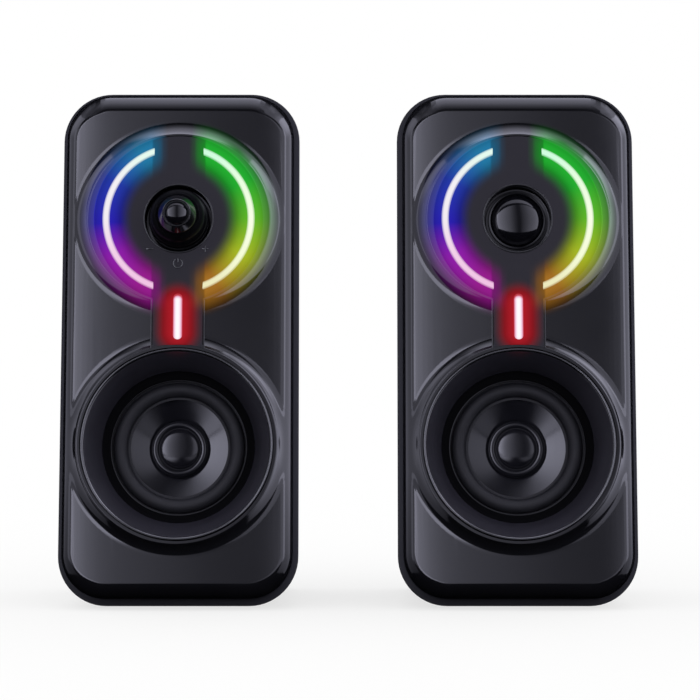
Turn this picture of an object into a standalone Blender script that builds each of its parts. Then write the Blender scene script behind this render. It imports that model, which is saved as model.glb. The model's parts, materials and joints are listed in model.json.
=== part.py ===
"""A pair of desktop speakers: an active one with the volume knob and a passive one.

Each cabinet is a rear shell and a leaning front panel that carries a round light disc,
a stem with a light bar, and a woofer in a horn. Every piece is one object.
Front pieces are modelled in the baffle's frame: x across, y up the face and z out of it,
with z = 0 on the plane where the front panel meets the rear shell.
"""

import math

import bmesh
import bpy
from mathutils import Matrix

MM = 0.001

# Cabinet
CABINET_WIDTH = 93.0 * MM
CABINET_HEIGHT = 200.0 * MM
CABINET_DEPTH = 98.0 * MM
CORNER_RADIUS = 19.0 * MM
REAR_FILLET = 8.0 * MM
WALL = 2.4 * MM
FACE_TILT = math.radians(8.0)
SPEAKER_SPACING = 131.4 * MM

# Clearances and mesh fineness
FIT_GAP = 0.3 * MM
CUT_MARGIN = 1.0 * MM
LEAST_RADIUS = 0.5 * MM
MERGE_DISTANCE = 0.001 * MM
SHOWN_SEGMENTS = 24
INNER_SEGMENTS = 18
SMALL_SEGMENTS = 10
CORNER_STEPS = 4
BEVEL_STEPS = 3
FACE_COLUMNS = 6
CURVE_STEPS = 4

# Front panel
PANEL_REVEAL = 1.4 * MM
FACE_HEIGHT = 11.0 * MM
FACE_BULGE = 2.0 * MM
BEVEL_WIDTH = 6.0 * MM
RAISED_HEIGHT = 5.0 * MM

# Light disc and stem
DISC_RISE = 48.0 * MM
DISC_RADIUS = 32.5 * MM
DISC_RIM = 0.9 * MM
DISC_FLARE = 5.0 * MM
STEM_HALF_WIDTH = 9.6 * MM
STEM_RIM = 0.9 * MM
LIGHT_PANEL_THICKNESS = 1.5 * MM
PUCK_PLATE = 2.0 * MM
LIGHT_PROUD = 0.2 * MM
ARC_RADIUS = 28.1 * MM
ARC_WIDTH = 2.8 * MM
BAR_RISE = 9.6 * MM
BAR_WIDTH = 3.6 * MM
BAR_LENGTH = 17.8 * MM

# LED board
BOARD_THICKNESS = 1.6 * MM
BOARD_LEDGE = 1.5 * MM
TONGUE_HALF_WIDTH = 6.8 * MM
TONGUE_MARGIN = 1.0 * MM
LED_SIZE = 3.0 * MM
LED_HEIGHT = 1.2 * MM
LED_SPREAD = math.radians(50.0)
LED_BAR_SPREAD = 4.5 * MM

# Control well
WELL_RADIUS = 13.7 * MM
WELL_WALL = 0.7 * MM
WELL_DEPTH = 7.6 * MM
WELL_FLOOR = 1.5 * MM
WELL_FLANGE_WIDTH = 1.9 * MM
WELL_FLANGE_THICKNESS = 1.2 * MM

# Volume control
KNOB_SKIRT_RADIUS = 11.75 * MM
KNOB_TOP_RADIUS = 7.3 * MM
KNOB_RISE = 12.3 * MM
KNOB_WALL = 1.6 * MM
KNOB_FLOOR_GAP = 1.8 * MM
KNOB_HOLLOW = 3.7 * MM
KNOB_HUB_RADIUS = 4.9 * MM
CAP_RADIUS = 4.6 * MM
CAP_DOME_RADIUS = 3.9 * MM
CAP_SEAT = 1.4 * MM
CAP_RISE = 1.7 * MM
SHAFT_RADIUS = 3.0 * MM
SHAFT_LENGTH = 17.4 * MM
PUSH_TRAVEL = 1.0 * MM
BUSH_RADIUS = 4.5 * MM
NUT_RADIUS = 6.6 * MM
NUT_THICKNESS = 1.4 * MM
ENCODER_WIDTH = 12.6 * MM
ENCODER_HEIGHT = 6.0 * MM
ENCODER_STEP = 2.3 * MM
PLUNGER_RADIUS = 1.7 * MM
PLUNGER_LENGTH = 2.4 * MM

# Amplifier board
AMP_WIDTH = 52.0 * MM
AMP_LENGTH = 42.0 * MM
AMP_DROP = 4.0 * MM
CAPACITOR_RADIUS = 4.0 * MM
CAPACITOR_HEIGHT = 11.0 * MM
CAPACITOR_SPREAD = 13.0 * MM
CAPACITOR_DROP = 10.5 * MM
CHIP_SIZE = 10.0 * MM
CHIP_HEIGHT = 2.2 * MM
CHIP_RISE = 10.5 * MM
SOLDER_SINK = 0.5 * MM

# Dome that closes the passive speaker's well
DOME_RADIUS = 10.3 * MM
DOME_RISE = 4.2 * MM
DOME_STEP = 0.9 * MM
DOME_FLANGE = 1.0 * MM
DOME_PEG_RADIUS = 4.2 * MM
DOME_PEG_LENGTH = 2.6 * MM

# Woofer horn
WOOFER_DROP = 39.7 * MM
HORN_RADIUS = 37.0 * MM
HORN_LAND = 0.9 * MM
HORN_FLARE = 4.4 * MM
HORN_SEAT = 2.8 * MM
HORN_LEDGE = 1.3 * MM
HORN_FLOOR_RADIUS = 30.4 * MM
HORN_WALL = 1.4 * MM
HORN_FLOOR = 1.2 * MM
MOUNT_LEVEL = 1.5 * MM
DRIVER_OPENING = 26.2 * MM

# Woofer drive unit
BASKET_RADIUS = 29.2 * MM
BASKET_GAUGE = 1.2 * MM
BASKET_DEPTH = 11.7 * MM
BASKET_REAR_RADIUS = 21.4 * MM
BASKET_COIL_GAP = 1.5 * MM
BASKET_WINDOWS = 4
WINDOW_WIDTH = 17.0 * MM
WINDOW_HEIGHT = 5.5 * MM
SURROUND_GAUGE = 0.7 * MM
ROLL_OUTER_RADIUS = 25.6 * MM
ROLL_INNER_RADIUS = 19.9 * MM
SURROUND_LIP = 0.9 * MM
CONE_GAUGE = 0.8 * MM
CONE_DEPTH = 7.5 * MM
COIL_RADIUS = 9.0 * MM
FORMER_GAUGE = 0.5 * MM
WINDING_GAUGE = 0.6 * MM
WINDING_LENGTH = 6.0 * MM
CAP_RIM_RADIUS = 12.0 * MM
DUST_DOME_RADIUS = 8.6 * MM
DUST_DOME_RISE = 3.4 * MM
DUST_GAUGE = 0.7 * MM
SPIDER_GAUGE = 0.6 * MM
SPIDER_WAVES = 2
SPIDER_WAVE_HEIGHT = 0.6 * MM
SPIDER_LEDGE = 1.6 * MM
MAGNET_GAP = 0.4 * MM
PLATE_RADIUS = 20.0 * MM
PLATE_THICKNESS = 3.5 * MM
MAGNET_RADIUS = 22.0 * MM
MAGNET_BORE = 12.5 * MM
MAGNET_THICKNESS = 8.0 * MM

# Case screws
SCREW_INSET_X = 12.0 * MM
SCREW_INSET_Z = 13.0 * MM
SCREW_SHANK_RADIUS = 1.5 * MM
SCREW_HEAD_RADIUS = 2.9 * MM
SCREW_HEAD_HEIGHT = 2.2 * MM
SCREW_HEAD_EDGE = 0.9 * MM
SCREW_CROWN_RADIUS = 1.7 * MM
SCREW_BITE = 8.0 * MM
TOWER_WALL = 1.5 * MM
TOWER_FLOOR = 5.0 * MM
BOSS_RADIUS = 4.0 * MM
BOSS_TAIL = 1.0 * MM

# Feet and cable gland
FOOT_LENGTH = 52.0 * MM
FOOT_WIDTH = 9.0 * MM
FOOT_THICKNESS = 1.6 * MM
FOOT_PROUD = 0.7 * MM
FOOT_SETBACK = 9.0 * MM
GLAND_RISE = 22.0 * MM
GLAND_RADIUS = 6.5 * MM
GLAND_BORE = 2.3 * MM
GLAND_NECK = 4.7 * MM
GLAND_FLANGE = 1.5 * MM
GLAND_FACE_RADIUS = 5.2 * MM
GLAND_EDGE = 0.6 * MM

# Levels out of the face, worked out from the sizes above
TOP_LEVEL = FACE_HEIGHT + RAISED_HEIGHT
PANEL_SEAT = TOP_LEVEL - LIGHT_PANEL_THICKNESS - FIT_GAP
PUCK_CEILING = PANEL_SEAT - PUCK_PLATE
BOARD_FRONT = PUCK_CEILING - FIT_GAP - LED_HEIGHT
WELL_TOP_LEVEL = TOP_LEVEL + LIGHT_PROUD
WELL_FLOOR_LEVEL = WELL_TOP_LEVEL - WELL_DEPTH
WELL_BACK_LEVEL = WELL_FLOOR_LEVEL - WELL_FLOOR
NUT_TOP_LEVEL = WELL_FLOOR_LEVEL + FIT_GAP + NUT_THICKNESS
ENCODER_TOP_LEVEL = WELL_BACK_LEVEL - FIT_GAP
ENCODER_BACK_LEVEL = ENCODER_TOP_LEVEL - ENCODER_HEIGHT
ENCODER_STEP_LEVEL = ENCODER_BACK_LEVEL + ENCODER_STEP
SHAFT_END_LEVEL = ENCODER_STEP_LEVEL + PUSH_TRAVEL + FIT_GAP
KNOB_BASE_LEVEL = WELL_FLOOR_LEVEL + KNOB_FLOOR_GAP
KNOB_TOP_LEVEL = TOP_LEVEL + KNOB_RISE
PLATE_BACK_LEVEL = MOUNT_LEVEL - WALL
SURROUND_TOP_LEVEL = PLATE_BACK_LEVEL - FIT_GAP
SURROUND_BACK_LEVEL = SURROUND_TOP_LEVEL - SURROUND_GAUGE
BASKET_TOP_LEVEL = SURROUND_BACK_LEVEL - FIT_GAP
BASKET_BACK_LEVEL = BASKET_TOP_LEVEL - BASKET_DEPTH - BASKET_GAUGE
SPIDER_SEAT_LEVEL = BASKET_BACK_LEVEL + BASKET_GAUGE + SPIDER_LEDGE
CONE_TOP_LEVEL = SURROUND_BACK_LEVEL - FIT_GAP
CONE_NECK_LEVEL = CONE_TOP_LEVEL - CONE_DEPTH
PLATE_FRONT_LEVEL = BASKET_BACK_LEVEL - FIT_GAP
MAGNET_FRONT_LEVEL = PLATE_FRONT_LEVEL - PLATE_THICKNESS - FIT_GAP
YOKE_FRONT_LEVEL = MAGNET_FRONT_LEVEL - MAGNET_THICKNESS - FIT_GAP

# Radii, worked out from the sizes above
HORN_BORE = HORN_RADIUS + FIT_GAP
HORN_RIM = HORN_BORE + HORN_LAND
CUP_RADIUS = HORN_BORE - HORN_LEDGE
CUP_OUTER = CUP_RADIUS + WALL
PUCK_CAVITY = DISC_RADIUS - FIT_GAP
BOARD_HOLE = WELL_RADIUS + WELL_FLANGE_WIDTH + FIT_GAP
FORMER_RADIUS = COIL_RADIUS + FORMER_GAUGE
CONE_NECK = FORMER_RADIUS + FIT_GAP
WINDING_RADIUS = FORMER_RADIUS + WINDING_GAUGE
SPIDER_REST = BASKET_REAR_RADIUS - 2 * BASKET_GAUGE - 2 * SPIDER_LEDGE
TOWER_BORE = SCREW_HEAD_RADIUS + FIT_GAP
SCREW_HOLE = SCREW_SHANK_RADIUS + FIT_GAP

# Places in the cabinet, worked out from the sizes above
FRONT_REACH = TOP_LEVEL * math.cos(FACE_TILT) + (WOOFER_DROP + HORN_RIM) * math.sin(FACE_TILT)
REAR_REACH = CABINET_DEPTH - FRONT_REACH
GLAND_REACH = REAR_REACH + FIT_GAP + GLAND_FLANGE
PARTING_Y = (FRONT_REACH - GLAND_REACH) / 2
REAR_Y = PARTING_Y + REAR_REACH
MIDDLE_Z = FOOT_PROUD + CABINET_HEIGHT / 2
TONGUE_END = BAR_RISE - BAR_LENGTH / 2 - TONGUE_MARGIN
FACE_HALF_HEIGHT = CABINET_HEIGHT / 2 / math.cos(FACE_TILT)
SCREW_X = CABINET_WIDTH / 2 - SCREW_INSET_X
SCREW_Z = CABINET_HEIGHT / 2 - SCREW_INSET_Z

# Finishes: colour, roughness and metallic value
FINISHES = {
    "gloss_black": ((0.012, 0.012, 0.016), 0.18, 0.0),
    "satin_black": ((0.020, 0.020, 0.024), 0.45, 0.0),
    "smoked_panel": ((0.030, 0.030, 0.036), 0.35, 0.0),
    "cool_light_guide": ((0.55, 0.60, 0.95), 0.30, 0.0),
    "warm_light_guide": ((0.70, 0.95, 0.45), 0.30, 0.0),
    "red_light_guide": ((0.95, 0.55, 0.60), 0.30, 0.0),
    "circuit_board": ((0.020, 0.110, 0.050), 0.50, 0.0),
    "rubber": ((0.015, 0.015, 0.017), 0.70, 0.0),
    "cone_film": ((0.016, 0.016, 0.020), 0.25, 0.0),
    "woven_spider": ((0.450, 0.270, 0.080), 0.80, 0.0),
    "copper": ((0.720, 0.300, 0.120), 0.35, 1.0),
    "zinc_steel": ((0.550, 0.560, 0.580), 0.35, 1.0),
    "ferrite": ((0.035, 0.035, 0.038), 0.65, 0.0),
}


def clear_scene():
    """Removes whatever the open file holds."""
    for old in list(bpy.data.objects):
        bpy.data.objects.remove(old, do_unlink=True)


def finish_material(name):
    """The material of a named finish, made the first time it is asked for."""
    found = bpy.data.materials.get(name)
    if found:
        return found
    colour, roughness, metallic = FINISHES[name]
    made = bpy.data.materials.new(name)
    made.use_nodes = True
    shader = made.node_tree.nodes["Principled BSDF"]
    shader.inputs["Base Color"].default_value = (*colour, 1.0)
    shader.inputs["Roughness"].default_value = roughness
    shader.inputs["Metallic"].default_value = metallic
    return made


def add_empty(name, parent, location, rotation=(0.0, 0.0, 0.0)):
    """An empty that places pieces or carries a joint's axis."""
    empty = bpy.data.objects.new(name, None)
    bpy.context.scene.collection.objects.link(empty)
    empty.parent = parent
    empty.location = location
    empty.rotation_euler = rotation
    return empty


def add_piece(name, bm, parent, location=(0.0, 0.0, 0.0), rotation=(0.0, 0.0, 0.0)):
    """Turns a bmesh into an object under its parent."""
    bmesh.ops.recalc_face_normals(bm, faces=bm.faces)
    mesh = bpy.data.meshes.new(name)
    bm.to_mesh(mesh)
    bm.free()
    piece = bpy.data.objects.new(name, mesh)
    bpy.context.scene.collection.objects.link(piece)
    piece.parent = parent
    piece.location = location
    piece.rotation_euler = rotation
    return piece


def turned(name, profile, parent, location=(0.0, 0.0, 0.0), rotation=(0.0, 0.0, 0.0),
           segments=SHOWN_SEGMENTS):
    """A piece turned about its own z axis from (radius, height) points.

    A profile that starts and ends on the axis makes a solid, any other makes a ring.
    """
    bm = bmesh.new()
    points = [bm.verts.new((radius, 0.0, height)) for radius, height in profile]
    edges = [bm.edges.new(pair) for pair in zip(points, points[1:])]
    if profile[0][0] > 0.0 or profile[-1][0] > 0.0:
        edges.append(bm.edges.new((points[-1], points[0])))
    bmesh.ops.spin(bm, geom=points + edges, cent=(0.0, 0.0, 0.0), axis=(0.0, 0.0, 1.0),
                   angle=2 * math.pi, steps=segments, use_merge=True)
    bmesh.ops.remove_doubles(bm, verts=bm.verts, dist=MERGE_DISTANCE)
    return add_piece(name, bm, parent, location, rotation)


def cylinder(name, radius, low, high, parent, location=(0.0, 0.0, 0.0), rotation=(0.0, 0.0, 0.0),
             segments=SHOWN_SEGMENTS):
    """A plain round bar between two heights."""
    profile = [(0.0, high), (radius, high), (radius, low), (0.0, low)]
    return turned(name, profile, parent, location, rotation, segments)


def extruded(name, outline, low, high, parent, location=(0.0, 0.0, 0.0)):
    """A flat outline raised from one height to another."""
    bm = bmesh.new()
    base = bm.faces.new([bm.verts.new((x, y, low)) for x, y in outline])
    grown = bmesh.ops.extrude_face_region(bm, geom=[base])
    lifted = [item for item in grown["geom"] if isinstance(item, bmesh.types.BMVert)]
    bmesh.ops.translate(bm, vec=(0.0, 0.0, high - low), verts=lifted)
    return add_piece(name, bm, parent, location)


def combine(target, tools, operation):
    """Cuts the tools from the target or joins them to it, and removes them."""
    for tool in tools:
        modifier = target.modifiers.new(operation.lower(), "BOOLEAN")
        modifier.operation = operation
        modifier.object = tool
        modifier.solver = "EXACT"
    bpy.context.view_layer.update()
    graph = bpy.context.evaluated_depsgraph_get()
    target.data = bpy.data.meshes.new_from_object(target.evaluated_get(graph))
    target.modifiers.clear()
    for tool in tools:
        bpy.data.objects.remove(tool)


def weld(mesh):
    """Merges the points that the cuts have left on the same spot."""
    bm = bmesh.new()
    bm.from_mesh(mesh)
    bmesh.ops.remove_doubles(bm, verts=bm.verts, dist=MERGE_DISTANCE)
    bm.to_mesh(mesh)
    bm.free()


def dress(piece, finish):
    """Welds a finished piece and gives it its one material and its shading."""
    weld(piece.data)
    piece.data.materials.clear()
    piece.data.materials.append(finish_material(finish))
    piece.data.shade_smooth()
    piece.data.set_sharp_from_angle(angle=math.radians(35.0))
    return piece


def arc_points(centre, radius, start, end, steps):
    """Points along an arc, both ends included."""
    turns = [start + (end - start) * step / steps for step in range(steps + 1)]
    return [(centre[0] + radius * math.cos(turn), centre[1] + radius * math.sin(turn)) for turn in turns]


def rectangle(half_width, low, high):
    """A rectangle that is centred across."""
    return [(-half_width, low), (half_width, low), (half_width, high), (-half_width, high)]


def right_side(half_width, half_height, radius):
    """Points up the right side of a rounded rectangle, from its bottom edge to its top edge."""
    radius = max(radius, LEAST_RADIUS)
    across = half_width - radius
    up = half_height - radius
    lower = arc_points((across, -up), radius, -math.pi / 2, 0.0, CORNER_STEPS)
    upper = arc_points((across, up), radius, 0.0, math.pi / 2, CORNER_STEPS)
    return lower + upper


def keyhole(radius, half_width, foot):
    """The disc and stem seen from the front, about the disc's axis; foot is the stem's lower end."""
    neck = math.asin(half_width / radius)
    disc = arc_points((0.0, 0.0), radius, neck - math.pi / 2, 1.5 * math.pi - neck, SHOWN_SEGMENTS)
    return disc + foot


def rim_foot(half_width, rim_radius):
    """A stem's lower end that follows a circle about the woofer's axis, left to right."""
    foot = math.asin(half_width / rim_radius)
    woofer = (0.0, -WOOFER_DROP - DISC_RISE)
    return arc_points(woofer, rim_radius, math.pi / 2 + foot, math.pi / 2 - foot, CURVE_STEPS)


def straight_foot(half_width, level):
    """A stem's lower end that is cut off straight at a height up the face."""
    return [(-half_width, level - DISC_RISE), (half_width, level - DISC_RISE)]


def arc_light_outline(side, growth):
    """One light arc, cut off straight at the stem's edge; growth is the clearance round it."""
    inner = ARC_RADIUS - ARC_WIDTH / 2 - growth
    outer = ARC_RADIUS + ARC_WIDTH / 2 + growth
    gap = STEM_HALF_WIDTH - growth
    steps = SHOWN_SEGMENTS // 3
    outer_end = math.acos(gap / outer)
    inner_end = math.acos(gap / inner)
    right = arc_points((0.0, 0.0), outer, -outer_end, outer_end, steps)
    right += arc_points((0.0, 0.0), inner, inner_end, -inner_end, steps)
    return [(side * x, y) for x, y in right]


def bar_light_outline(growth):
    """The light bar's round-ended slot, about the bar's centre."""
    radius = BAR_WIDTH / 2 + growth
    reach = BAR_LENGTH / 2 - BAR_WIDTH / 2
    top = arc_points((0.0, reach), radius, 0.0, math.pi, CURVE_STEPS)
    return top + arc_points((0.0, -reach), radius, math.pi, 2 * math.pi, CURVE_STEPS)


def parting_y(z):
    """How far back the plane between front panel and rear shell lies at a height."""
    return PARTING_Y + (z - MIDDLE_Z) * math.tan(FACE_TILT)


def loop_of(bm, side, place, columns=1):
    """A closed loop of vertices up a right side, along the top, down the left and along the bottom."""
    shares = [1 - 2 * column / columns for column in range(1, columns)]
    top = [(side[-1][0] * share, side[-1][1]) for share in shares]
    bottom = [(-side[0][0] * share, side[0][1]) for share in shares]
    left = [(-x, y) for x, y in reversed(side)]
    return [bm.verts.new(place(x, y)) for x, y in side + top + left + bottom]


def bridge(bm, first, second):
    """Quads between two loops of the same count."""
    for i in range(len(first)):
        j = (i + 1) % len(first)
        bm.faces.new((first[i], first[j], second[j], second[i]))


def fill_rows(bm, loop, side, place):
    """Covers a loop with rows of quads from its left side to its right side."""
    count = len(side)
    inner = FACE_COLUMNS - 1
    right = loop[:count]
    left = loop[count + inner:2 * count + inner][::-1]
    rows = [[left[0], *loop[2 * count + inner:], right[0]]]
    shares = [2 * column / FACE_COLUMNS - 1 for column in range(1, FACE_COLUMNS)]
    for number in range(1, count - 1):
        x, y = side[number]
        middle = [bm.verts.new(place(x * share, y)) for share in shares]
        rows.append([left[number], *middle, right[number]])
    rows.append([left[-1], *loop[count:count + inner][::-1], right[-1]])
    for lower, upper in zip(rows, rows[1:]):
        for column in range(FACE_COLUMNS):
            bm.faces.new((lower[column], lower[column + 1], upper[column + 1], upper[column]))


def front_block(name, speaker, inset, base_level):
    """The front panel's outer form, or its hollow when it is inset by the wall."""
    half_width = CABINET_WIDTH / 2
    bm = bmesh.new()
    previous = None
    for step in range(BEVEL_STEPS + 1):
        turn = math.pi / 2 * step / BEVEL_STEPS
        edge = PANEL_REVEAL + inset + BEVEL_WIDTH * (1 - math.cos(turn))
        rise = math.sin(turn)

        def place(x, y, rise=rise):
            crown = FACE_HEIGHT - inset - FACE_BULGE * (x / half_width) ** 2
            return (x, y, base_level + (crown - base_level) * rise)

        side = right_side(half_width - edge, FACE_HALF_HEIGHT - edge, CORNER_RADIUS - edge)
        loop = loop_of(bm, side, place, FACE_COLUMNS)
        if previous is None:
            bm.faces.new(loop)
        else:
            bridge(bm, previous, loop)
        previous = loop
    fill_rows(bm, previous, side, place)
    return add_piece(name, bm, speaker["baffle"])


def raised_forms(speaker):
    """The puck under the light disc, the stem and the ring round the horn, to join to the front panel."""
    low = FACE_HEIGHT - RAISED_HEIGHT
    slope = [(1.2, -0.2), (0.8, 0.15), (0.35, 0.75), (0.0, 1.0)]
    disc_rim = DISC_RADIUS + FIT_GAP + DISC_RIM
    puck = [(0.0, low), (disc_rim + DISC_FLARE * slope[0][0], low)]
    puck += [(disc_rim + DISC_FLARE * out, FACE_HEIGHT + RAISED_HEIGHT * up) for out, up in slope]
    ring = [(0.0, low), (HORN_RIM + HORN_FLARE * slope[0][0], low)]
    ring += [(HORN_RIM + HORN_FLARE * out, FACE_HEIGHT + RAISED_HEIGHT * up) for out, up in slope]
    stem_edge = STEM_HALF_WIDTH + FIT_GAP + STEM_RIM
    stem = rectangle(stem_edge, -WOOFER_DROP + HORN_BORE / 2, DISC_RISE - DISC_RADIUS / 2)
    return [
        turned("puck", [*puck, (0.0, TOP_LEVEL)], speaker["baffle"], (0.0, DISC_RISE, 0.0)),
        turned("ring", [*ring, (0.0, TOP_LEVEL)], speaker["baffle"], (0.0, -WOOFER_DROP, 0.0)),
        extruded("stem", stem, low, TOP_LEVEL, speaker["baffle"]),
    ]


def light_slots(speaker, low, high):
    """Cutters for the light arcs, the light bar and the control well."""
    baffle = speaker["baffle"]
    disc = (0.0, DISC_RISE, 0.0)
    slots = [
        extruded("arc_slot", arc_light_outline(side, FIT_GAP), low, high, baffle, disc) for side in (-1, 1)
    ]
    slots.append(extruded("bar_slot", bar_light_outline(FIT_GAP), low, high, baffle, (0.0, BAR_RISE, 0.0)))
    slots.append(cylinder("well_hole", WELL_RADIUS + FIT_GAP, low, high, baffle, disc))
    return slots


def along_y(speaker, name, radius, front, back, x, z):
    """A round bar along the cabinet's depth, from one distance back to another."""
    turn = (-math.pi / 2, 0.0, 0.0)
    return cylinder(name, radius, front, back, speaker["cabinet"], (x, 0.0, z), turn, SMALL_SEGMENTS)


def screw_places():
    """Where the four case screws run, as (x, z) in the cabinet."""
    return [(side * SCREW_X, MIDDLE_Z + level * SCREW_Z) for level in (1, -1) for side in (-1, 1)]


def boss_end(z):
    """How far back the front panel's screw bosses reach."""
    return parting_y(z) + BOSS_TAIL


def front_panel(speaker):
    """The leaning moulded front with its raised light disc, stem and horn ring."""
    baffle = speaker["baffle"]
    woofer = (0.0, -WOOFER_DROP, 0.0)
    disc = (0.0, DISC_RISE, 0.0)
    panel = front_block(speaker["name"] + "_front_panel", speaker, 0.0, FIT_GAP)
    combine(panel, raised_forms(speaker), "UNION")
    combine(panel, [front_block("hollow", speaker, WALL, -CUT_MARGIN)], "DIFFERENCE")
    driver_cup = cylinder("driver_cup", CUP_OUTER, PLATE_BACK_LEVEL, FACE_HEIGHT, baffle, woofer)
    combine(panel, [driver_cup], "UNION")
    ledge_level = TOP_LEVEL - HORN_SEAT
    opening_back = PLATE_BACK_LEVEL - CUT_MARGIN
    combine(panel, [
        cylinder("horn_bore", HORN_BORE, ledge_level, TOP_LEVEL + CUT_MARGIN, baffle, woofer),
        cylinder("cup_bore", CUP_RADIUS, MOUNT_LEVEL, TOP_LEVEL, baffle, woofer),
        cylinder("driver_opening", DRIVER_OPENING, opening_back, TOP_LEVEL, baffle, woofer),
    ], "DIFFERENCE")
    stem_width = STEM_HALF_WIDTH + FIT_GAP
    tongue_width = TONGUE_HALF_WIDTH + FIT_GAP
    box_width = tongue_width - BOARD_LEDGE
    recess = keyhole(DISC_RADIUS + FIT_GAP, stem_width, rim_foot(stem_width, HORN_RIM))
    hollow = keyhole(PUCK_CAVITY, tongue_width, straight_foot(tongue_width, TONGUE_END - FIT_GAP))
    box_foot = straight_foot(box_width, TONGUE_END + BOARD_LEDGE)
    light_box = keyhole(PUCK_CAVITY - BOARD_LEDGE, box_width, box_foot)
    combine(panel, [
        extruded("panel_recess", recess, PANEL_SEAT, TOP_LEVEL + CUT_MARGIN, baffle, disc),
        extruded("puck_hollow", hollow, 0.0, BOARD_FRONT + FIT_GAP, baffle, disc),
        extruded("light_box", light_box, BOARD_FRONT, PUCK_CEILING, baffle, disc),
    ], "DIFFERENCE")
    combine(panel, light_slots(speaker, PUCK_CEILING - CUT_MARGIN, TOP_LEVEL), "DIFFERENCE")
    boss_reach = FACE_HEIGHT - WALL / 2 - FACE_BULGE * (2 * SCREW_X / CABINET_WIDTH) ** 2
    combine(panel, [
        along_y(speaker, "boss", BOSS_RADIUS, parting_y(z) - boss_reach, boss_end(z), x, z)
        for x, z in screw_places()
    ], "UNION")
    combine(panel, [
        along_y(speaker, "pilot", SCREW_HOLE, boss_end(z) - SCREW_BITE - FIT_GAP, boss_end(z) + CUT_MARGIN,
                x, z)
        for x, z in screw_places()
    ], "DIFFERENCE")
    return dress(panel, "gloss_black")


def shell_loops(bm, inset, flip):
    """Loops of the rear shell's wall, from the parting plane to the rear, for one side of the wall."""
    fillet = max(REAR_FILLET - inset, LEAST_RADIUS)
    back = REAR_Y - inset
    loops = []
    for step in range(BEVEL_STEPS + 2):
        turn = math.pi / 2 * max(step - 1, 0) / BEVEL_STEPS
        edge = inset + fillet * (1 - math.cos(turn))
        side = right_side(CABINET_WIDTH / 2 - edge, CABINET_HEIGHT / 2 - edge, CORNER_RADIUS - edge)
        depth = back - fillet * (1 - math.sin(turn))

        def place(x, z, step=step, depth=depth):
            return (x, parting_y(MIDDLE_Z + z) if step == 0 else depth, MIDDLE_Z + z)

        loops.append(loop_of(bm, side, place))
    return loops[::-1] if flip else loops


def rear_shell(speaker):
    """The deep tub behind the front panel, with screw towers, foot pockets and the gland's hole."""
    bm = bmesh.new()
    loops = shell_loops(bm, 0.0, False) + shell_loops(bm, WALL, True)
    middle = len(loops) // 2
    for index, (first, second) in enumerate(zip(loops, loops[1:])):
        if index != middle - 1:
            bridge(bm, first, second)
    bridge(bm, loops[-1], loops[0])
    bm.faces.new(loops[middle - 1])
    bm.faces.new(loops[middle])
    shell = add_piece(speaker["name"] + "_rear_shell", bm, speaker["cabinet"])
    pocket_roof = FOOT_THICKNESS + FIT_GAP
    cutters = [
        extruded("foot_pocket", rectangle(FOOT_LENGTH / 2 + FIT_GAP, low - FIT_GAP, high + FIT_GAP),
                 -CUT_MARGIN, pocket_roof, speaker["cabinet"])
        for low, high in foot_places()
    ]
    cutters.append(along_y(speaker, "gland_hole", GLAND_NECK + FIT_GAP, REAR_Y - WALL - CUT_MARGIN,
                           REAR_Y + CUT_MARGIN, 0.0, FOOT_PROUD + GLAND_RISE))
    combine(shell, cutters, "DIFFERENCE")
    tower_front = {z: boss_end(z) + FIT_GAP for _, z in screw_places()}
    combine(shell, [
        along_y(speaker, "tower", TOWER_BORE + TOWER_WALL, tower_front[z], REAR_Y - WALL / 2, x, z)
        for x, z in screw_places()
    ], "UNION")
    combine(shell, [tower_bore(speaker, x, z, tower_front[z]) for x, z in screw_places()], "DIFFERENCE")
    return dress(shell, "satin_black")


def tower_bore(speaker, x, z, front):
    """Cutter for the inside of a screw tower: wide for the screw's head, narrow through the tower's floor."""
    start = front - CUT_MARGIN
    seat = front + TOWER_FLOOR
    back = REAR_Y + CUT_MARGIN
    profile = [
        (0.0, back), (TOWER_BORE, back), (TOWER_BORE, seat), (SCREW_HOLE, seat), (SCREW_HOLE, start),
        (0.0, start),
    ]
    turn = (-math.pi / 2, 0.0, 0.0)
    return turned("tower_bore", profile, speaker["cabinet"], (x, 0.0, z), turn, SMALL_SEGMENTS)


def foot_places():
    """Front and back edge of each foot pad."""
    front = parting_y(FOOT_PROUD) + FOOT_SETBACK
    back = REAR_Y - REAR_FILLET - FOOT_SETBACK
    return [(front, front + FOOT_WIDTH), (back - FOOT_WIDTH, back)]


def feet(speaker):
    """Two rubber pads that stand in pockets under the cabinet."""
    for place, (low, high) in zip(("front", "rear"), foot_places()):
        pad = extruded(f"{speaker['name']}_foot_{place}", rectangle(FOOT_LENGTH / 2, low, high), 0.0,
                       FOOT_THICKNESS, speaker["cabinet"])
        dress(pad, "rubber")


def case_screws(speaker):
    """Four screws from the rear, through the shell's towers into the front panel's bosses."""
    turn = (-math.pi / 2, 0.0, 0.0)
    for number, (x, z) in enumerate(screw_places(), 1):
        tip = boss_end(z) - SCREW_BITE
        neck = boss_end(z) + FIT_GAP + TOWER_FLOOR + FIT_GAP
        profile = [
            (0.0, neck + SCREW_HEAD_HEIGHT), (SCREW_CROWN_RADIUS, neck + SCREW_HEAD_HEIGHT),
            (SCREW_HEAD_RADIUS, neck + SCREW_HEAD_EDGE), (SCREW_HEAD_RADIUS, neck),
            (SCREW_SHANK_RADIUS, neck), (SCREW_SHANK_RADIUS, tip + SCREW_SHANK_RADIUS), (0.0, tip),
        ]
        name = f"{speaker['name']}_case_screw_{number}"
        screw = turned(name, profile, speaker["cabinet"], (x, 0.0, z), turn, SMALL_SEGMENTS)
        dress(screw, "zinc_steel")


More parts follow.
